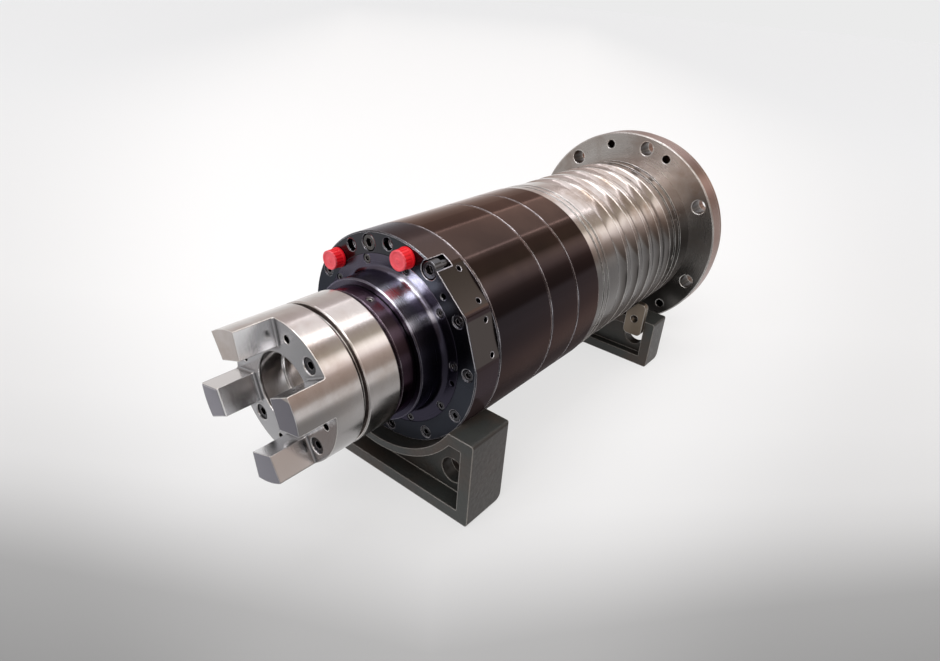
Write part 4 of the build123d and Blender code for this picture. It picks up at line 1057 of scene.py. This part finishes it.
# %% [markdown]
# ## The red transport caps
#
# Each fluid port is closed by a moulded push-in cap. A real one is drawn from a mould, so all
# its corners are soft, a thin rim runs round its foot, small grip ribs run along its side and
# the end is slightly dished with the mark of the gate in the middle. Its outline could be
# spun like a turned part, but the ribs need faces along the side, so it starts as a cylinder
# with many sides. The end is stepped by insets, the foot is drawn out into the stem by an
# extrusion, the ribs are insets on every other side face, and one bevel softens it all.
# The second cap is a copy with its own mesh, moved to its own port.

# %% Helpers for modelling


def select_faces(mesh_object, wanted):
    """In edit mode, selects the faces that wanted(centre, normal) accepts, and counts them."""
    bpy.ops.mesh.select_mode(type="FACE")
    bpy.ops.mesh.select_all(action="DESELECT")
    bpy.ops.object.mode_set(mode="OBJECT")
    count = 0
    for polygon in mesh_object.data.polygons:
        polygon.select = bool(wanted(polygon.center, polygon.normal))
        count += polygon.select
    bpy.ops.object.mode_set(mode="EDIT")
    return count


def extrude_along_axis(distance):
    """Extrudes the selection along the spindle."""
    bpy.ops.mesh.extrude_region_move(TRANSFORM_OT_translate={"value": (distance, 0, 0)})


def scale_across_axis(share, centre):
    """Scales the selection about a centre, but not along the spindle."""
    bpy.ops.transform.resize(value=(1, share, share), center_override=centre)


def fix_in_place():
    """Moves the active object's place, turn and size into its mesh."""
    bpy.ops.object.transform_apply(location=True, rotation=True, scale=True)


# %% Sizes of a cap
cap_low, cap_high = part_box("port_cap_left")
cap_middle = (cap_low + cap_high) / 2
cap_end = cap_low.x
cap_length = cap_high.x - cap_low.x
head_radius = (cap_high.y - cap_low.y) / 2
side_radius = head_radius - 0.0006
head_length = 0.0115
stem_radius = 0.0062
stem_chamfer = 0.0012
stem_tip_share = 0.86
foot_thickness = 0.0022
dish_depth = 0.0006
rib_count = 18
near = 0.0002
foot_start = cap_end + head_length - foot_thickness
head_rear = (cap_end + head_length, cap_middle.y, cap_middle.z)
stem_tip = (cap_end + cap_length, cap_middle.y, cap_middle.z)
print("cap", round(cap_length, 4), "long, head radius", round(head_radius, 4))

# %% Cap material
red_plastic = make_plastic(
    "red_plastic",
    (0.76, 0.006, 0.016),
    (0.56, 0.004, 0.010),
    0.34,
    specular=0.3,
    # The end face is painted paler as a sheen.
    sheen_end=((0.88, 0.17, 0.21), cap_end - 0.001, cap_end + 0.0017),
)
print("material", red_plastic.name)

# %% The head and its foot rim
bpy.ops.object.select_all(action="DESELECT")
bpy.ops.mesh.primitive_cylinder_add(
    vertices=2 * rib_count,
    radius=side_radius,
    depth=head_length,
    location=(cap_end + head_length / 2, cap_middle.y, cap_middle.z),
    rotation=(0, -pi / 2, 0),
)
left_cap = bpy.context.object
left_cap.name = "left_transport_cap"
fix_in_place()
bpy.ops.object.mode_set(mode="EDIT")
bpy.ops.mesh.select_all(action="SELECT")
bpy.ops.mesh.bisect(plane_co=(foot_start, 0, 0), plane_no=(1, 0, 0))
rim_faces = select_faces(
    left_cap, lambda centre, normal: abs(normal.x) < 0.5 and centre.x > foot_start
)
extrude_along_axis(0)
scale_across_axis(head_radius / side_radius, head_rear)
print("faces round the foot", rim_faces)

# %% Helpers for closing and softening a shape


def turn_faces_outward():
    """In edit mode, points every face out of its shell."""
    bpy.ops.mesh.select_all(action="SELECT")
    bpy.ops.mesh.normals_make_consistent(inside=False)


def soften(piece, width, segments, sharp_angle):
    """Rounds the edges that are sharper than an angle, and applies the modifier."""
    bevel = piece.modifiers.new("soft_edges", "BEVEL")
    bevel.width = width
    bevel.segments = segments
    bevel.limit_method = "ANGLE"
    bevel.angle_limit = radians(sharp_angle)
    bpy.ops.object.modifier_apply(modifier=bevel.name)


print("helpers for soft edges ready")

# %% The dished end and the stem
end_faces = select_faces(
    left_cap, lambda centre, normal: normal.x < -0.9 and centre.x < cap_end + near
)
for step, depth in (
    (0.0016, 0.0),
    (0.0009, -dish_depth),
    (0.0040, 0.0),
    (0.0004, dish_depth * 0.6),
):
    bpy.ops.mesh.inset(thickness=step, depth=depth)
stem_faces = select_faces(
    left_cap,
    lambda centre, normal: normal.x > 0.9
    and centre.x > cap_end + head_length - near
    and (centre - Vector(head_rear)).length < 0.001,
)
bpy.ops.mesh.inset(thickness=side_radius - stem_radius, depth=0.0)
extrude_along_axis(cap_length - head_length - stem_chamfer)
extrude_along_axis(stem_chamfer)
scale_across_axis(stem_tip_share, stem_tip)
turn_faces_outward()
bpy.ops.object.mode_set(mode="OBJECT")
soften(left_cap, 0.0006, 3, 28)
print("end faces", end_faces, "stem faces", stem_faces)

# %% Press the grip ribs into its side
rib_angle = pi / rib_count
rib_margin = 0.002


def is_groove(centre, normal):
    """Every other face round the side, clear of the soft corners at both ends."""
    if abs(normal.x) > 0.1 or not cap_end + rib_margin < centre.x < foot_start - rib_margin:
        return False
    turn = normal.yz.angle_signed(Vector((1, 0))) + 2 * pi
    return int(turn / rib_angle) % 2 == 0


bpy.ops.object.mode_set(mode="EDIT")
grooves = select_faces(left_cap, is_groove)
bpy.ops.mesh.inset(thickness=0.00022, depth=-0.00035, use_individual=True)
bpy.ops.object.mode_set(mode="OBJECT")
bpy.ops.object.shade_smooth_by_angle(angle=radians(50))
left_cap.data.materials.append(red_plastic)
print("grooves", grooves, "cap faces", len(left_cap.data.polygons))

# %% Helpers for copying


def select_only(*pieces):
    """Selects these objects alone and makes the first one active."""
    bpy.ops.object.select_all(action="DESELECT")
    for piece in pieces:
        piece.select_set(True)
    bpy.context.view_layer.objects.active = pieces[0]


def copy_of(piece):
    """A copy of a piece with its own mesh, selected and active."""
    select_only(piece)
    bpy.ops.object.duplicate(linked=False)
    return bpy.context.object


print("faces to copy", len(left_cap.data.polygons))

# %% Copy it to the other port
right_low, right_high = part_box("port_cap_right")
right_cap = copy_of(left_cap)
right_cap.name = "right_transport_cap"
bpy.ops.transform.translate(value=(right_low + right_high) / 2 - cap_middle)
fix_in_place()
for cap, node_name in ((left_cap, "port_cap_left"), (right_cap, "port_cap_right")):
    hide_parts(node_name)
    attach(cap, node_name)
    give_finish(node_name, red_plastic)
print("caps between x", round(cap_low.x, 4), "and", round(right_high.x, 4))

# %% [markdown]
# ## The disc springs
#
# A stack of coned steel washers pulls the drawbar back. When the drawbar is pushed forward the
# real stack shortens by the stroke, which a rigid solid can't do, so a modelled stack stands for
# it; here it rides on the rotor with a mesh of its own. One washer starts as a ring of edges: the
# ring is drawn inward and forward into a cone, and the cone is extruded to its thickness.
# Its twin faces the other way, and both are copied along the shaft. A screw modifier could
# repeat them too, but separate washers stay separate when they are looked at closely.

# %% One coned washer
spring_low, spring_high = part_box("disc_springs")
spring_length = 0.120
washer_count = 16
washer_pitch = spring_length / washer_count
washer_thickness = 0.0036
washer_rise = washer_pitch - washer_thickness
washer_radius = spring_high.y
drawbar_radius = 0.014
washer_play = 0.0006
washer_sides = 48

bpy.ops.object.select_all(action="DESELECT")
bpy.ops.mesh.primitive_circle_add(
    vertices=washer_sides,
    radius=washer_radius,
    fill_type="NOTHING",
    location=(spring_low.x, 0, 0),
    rotation=(0, pi / 2, 0),
)
washer = bpy.context.object
washer.name = "spring_stack"
fix_in_place()
bpy.ops.object.mode_set(mode="EDIT")
bpy.ops.mesh.select_mode(type="EDGE")
bpy.ops.mesh.select_all(action="SELECT")
extrude_along_axis(washer_rise)
scale_across_axis(
    (drawbar_radius + washer_play) / washer_radius, (spring_low.x + washer_rise, 0, 0)
)
bpy.ops.mesh.select_mode(type="FACE")
bpy.ops.mesh.select_all(action="SELECT")
extrude_along_axis(washer_thickness)
turn_faces_outward()
bpy.ops.object.mode_set(mode="OBJECT")
soften(washer, 0.0003, 2, 40)
print("washer faces", len(washer.data.polygons), "radius", round(washer_radius, 4))

# %% Stack the washers
first_seam = (spring_low.x + washer_pitch / 2, 0, 0)
washers = [washer]
for index in range(1, washer_count):
    washers.append(copy_of(washer))
    if index % 2:
        bpy.ops.transform.resize(value=(-1, 1, 1), center_override=first_seam)
    bpy.ops.transform.translate(value=(index * washer_pitch, 0, 0))
    fix_in_place()
select_only(*washers)
bpy.ops.object.join()
spring_stack = bpy.context.object
bpy.ops.object.mode_set(mode="EDIT")
turn_faces_outward()
bpy.ops.object.mode_set(mode="OBJECT")
bpy.ops.object.shade_smooth_by_angle(angle=radians(35))
spring_stack.data.materials.append(inner_steel)
print("washers", washer_count, "faces", len(spring_stack.data.polygons))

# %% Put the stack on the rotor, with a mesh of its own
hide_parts("disc_springs")
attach(spring_stack, "rotor")
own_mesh(spring_stack)

# %% [markdown]
# ## The floor
#
# The ground is a studio sweep: white far off and dark grey toward the viewer. A curved
# backdrop could give the same, but one wide plane is simpler: its colour follows the distance
# ahead of one place on the ground, and it darkens to both sides, a painted fall-off of light.
# What the eye and the steel see of it is mostly its own glow in that painted gradient, so that
# the lamps can stay low, and a share of plain paint keeps the object's soft shadow. Far away
# and far aside it takes one pale colour, which the lamps bring close to the sky's.

# %% The pattern on the floor
horizon_colour = (0.83, 0.83, 0.83)
far_floor_colour = (0.854, 0.863, 0.871)
ramp_start, ramp_length = -2.0, 4.0
nearest, widest_spread, side_pull = 0.2, 1.2, 0.07
# These stops paint a fall-off of light: pale far off, dark grey towards the viewer.
floor_stops = (
    (-2.0, 0.88),
    (-0.9, 0.80),
    (-0.2, 0.40),
    (0.20, 0.355),
    (0.30, 0.45),
    (0.345, 0.61),
    (0.385, 0.74),
    (0.43, 0.83),
    (0.55, 0.90),
    (0.80, 0.955),
    (2.0, 0.97),
)
view_turn = radians(90 + camera_turn[2])
view_ahead = Vector((cos(view_turn), sin(view_turn), 0))
view_aside = Vector((-sin(view_turn), cos(view_turn), 0))

floor_paint, tree, shader, place = new_material("floor_paint")
centred = add_node(tree, "ShaderNodeVectorMath", operation="SUBTRACT")
feed(tree, centred.inputs[0], place)
feed(tree, centred.inputs[1], Vector((*camera_place[:2], 0)))
ahead = dot_product(tree, centred.outputs[0], view_ahead)
aside = scalar(tree, "ABSOLUTE", dot_product(tree, centred.outputs[0], view_aside))
spread = scalar(tree, "DIVIDE", aside, scalar(tree, "MAXIMUM", ahead, nearest))
pull = scalar(tree, "MULTIPLY", scalar(tree, "MINIMUM", spread, widest_spread), side_pull)
from_start = scalar(tree, "SUBTRACT", scalar(tree, "SUBTRACT", ahead, pull), ramp_start)
ramp_place = scalar(tree, "DIVIDE", from_start, ramp_length, clamp=True)
sweep = colour_ramp(
    tree,
    ramp_place,
    [((distance - ramp_start) / ramp_length, (shade,) * 3) for distance, shade in floor_stops],
)
# Painted shade: the floor is darker to both sides.
side_shade = fade(tree, spread, 0.30, 0.85, To_Min=1.0, To_Max=0.84)
paint = blend_colours(tree, 1.0, sweep, side_shade, "MULTIPLY")
far = scalar(tree, "MAXIMUM", fade(tree, ahead, 3.0, 11.0), fade(tree, aside, 0.5, 1.8))
paint = blend_colours(tree, far, paint, far_floor_colour)
print("floor stops", len(floor_stops))

# %% The floor's paint and glow
glow_strength = 0.72
floor_half = 14.0
floor_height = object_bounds()[0].z

feed(tree, shader["Base Color"], paint)
shader["Roughness"].default_value = 0.9
shader["Specular IOR Level"].default_value = 0.0
rays = add_node(tree, "ShaderNodeLightPath").outputs
seen = scalar(tree, "MAXIMUM", rays["Is Camera Ray"], rays["Is Glossy Ray"])
seen = scalar(tree, "MAXIMUM", seen, rays["Is Transmission Ray"])
glow = add_node(tree, "ShaderNodeEmission", Color=paint, Strength=1.0)
mixed = add_node(tree, "ShaderNodeMixShader", Fac=scalar(tree, "MULTIPLY", seen, glow_strength))
feed(tree, mixed.inputs[1], tree.nodes["Principled BSDF"].outputs[0])
feed(tree, mixed.inputs[2], glow.outputs[0])
feed(tree, tree.nodes["Material Output"].inputs["Surface"], mixed.outputs[0])

bpy.ops.mesh.primitive_plane_add(size=2 * floor_half, location=(0, 0, floor_height))
floor = bpy.context.object
floor.name = "floor"
floor.data.materials.append(floor_paint)
print("floor at", round(floor_height, 4))

# %% [markdown]
# ## A room in bands
#
# Long steel cylinders show the room as stripes along their length. A photographed room could
# give them, but the script reads no pictures. So the sky is made of long bands that run with
# the spindle: pale at the horizon, a bright ceiling, a dark gap, a bright window and a dull
# wall behind the viewer, with two narrow lamps between them. Each band is one stop of a
# colour ramp, read by the angle about the spindle's axis. Near the horizon the sky is plain
# and pale, so that the floor has no visible end.

# %% World
sky_bands = (
    (0, (0.80, 0.80, 0.80)),
    (12, (0.70, 0.66, 0.64)),
    (32, (0.58, 0.52, 0.50)),
    (49, (0.66, 0.60, 0.60)),
    (50.5, (3.0, 2.9, 3.0)),
    (52, (1.15, 1.12, 1.14)),
    (92, (1.10, 1.07, 1.08)),
    (95.4, (1.05, 1.02, 1.03)),
    (96.4, (4.2, 4.1, 4.3)),
    (97.6, (0.9, 0.86, 0.86)),
    (105, (0.44, 0.38, 0.35)),
    (122, (0.48, 0.43, 0.36)),
    (129, (1.30, 1.22, 1.15)),
    (134, (1.55, 1.48, 1.42)),
    (141, (1.35, 1.25, 1.22)),
    (150, (0.62, 0.52, 0.48)),
    (158, (0.46, 0.38, 0.34)),
    (180, (0.34, 0.29, 0.26)),
)
plain_below, banded_above = 0.05, 0.13

world = bpy.data.worlds.new("studio")
bpy.context.scene.world = world
world.use_nodes = True
tree = world.node_tree
tree.nodes.clear()
direction = add_node(tree, "ShaderNodeTexCoord")
_, y, z = axes(tree, direction.outputs["Generated"])
half_turns = scalar(tree, "DIVIDE", scalar(tree, "ARCTAN2", z, y), pi, clamp=True)
bands = colour_ramp(tree, half_turns, [(angle / 180, colour) for angle, colour in sky_bands])
above = fade(tree, z, plain_below, banded_above)
sky_colour = blend_colours(tree, above, horizon_colour, bands)
sky = add_node(tree, "ShaderNodeBackground", Color=sky_colour, Strength=1.0)
add_node(tree, "ShaderNodeOutputWorld", Surface=sky.outputs[0])
print("sky bands", len(sky_bands))

# %% [markdown]
# ## Lamps
#
# The sky does most of the lighting. A large soft lamp beyond the nose gives the front face
# its shape and the floor its shadow, a long one overhead lights the top of the housing, and a
# small cool one stands for the window that the nose mirrors. Sun or point lamps would be
# simpler, but their hard edges show in polished steel.

# %% Lamps


def add_lamp(name, place, aim, size, size_y, power, colour=(1, 1, 1)):
    """A rectangular lamp at place, turned to face aim."""
    bpy.ops.object.light_add(type="AREA", location=place)
    lamp = bpy.context.object
    lamp.name = name
    lamp.data.shape = "RECTANGLE"
    lamp.data.size = size
    lamp.data.size_y = size_y
    lamp.data.energy = power
    lamp.data.color = colour
    lamp.rotation_euler = (Vector(aim) - Vector(place)).to_track_quat("-Z", "Y").to_euler()


middle = (-0.25, 0, 0)
nose = (-0.45, 0, 0.05)
cool_white = (0.92, 0.94, 1.0)
add_lamp("large_left", (-1.7, -0.5, 1.7), middle, 1.0, 1.0, 12)
add_lamp("overhead", (-0.1, 0.3, 2.2), middle, 2.2, 0.5, 10)
add_lamp("front_window", (-1.66, 0.44, 1.54), nose, 0.5, 0.45, 3.6, cool_white)
print("lamps", len(bpy.data.lights))
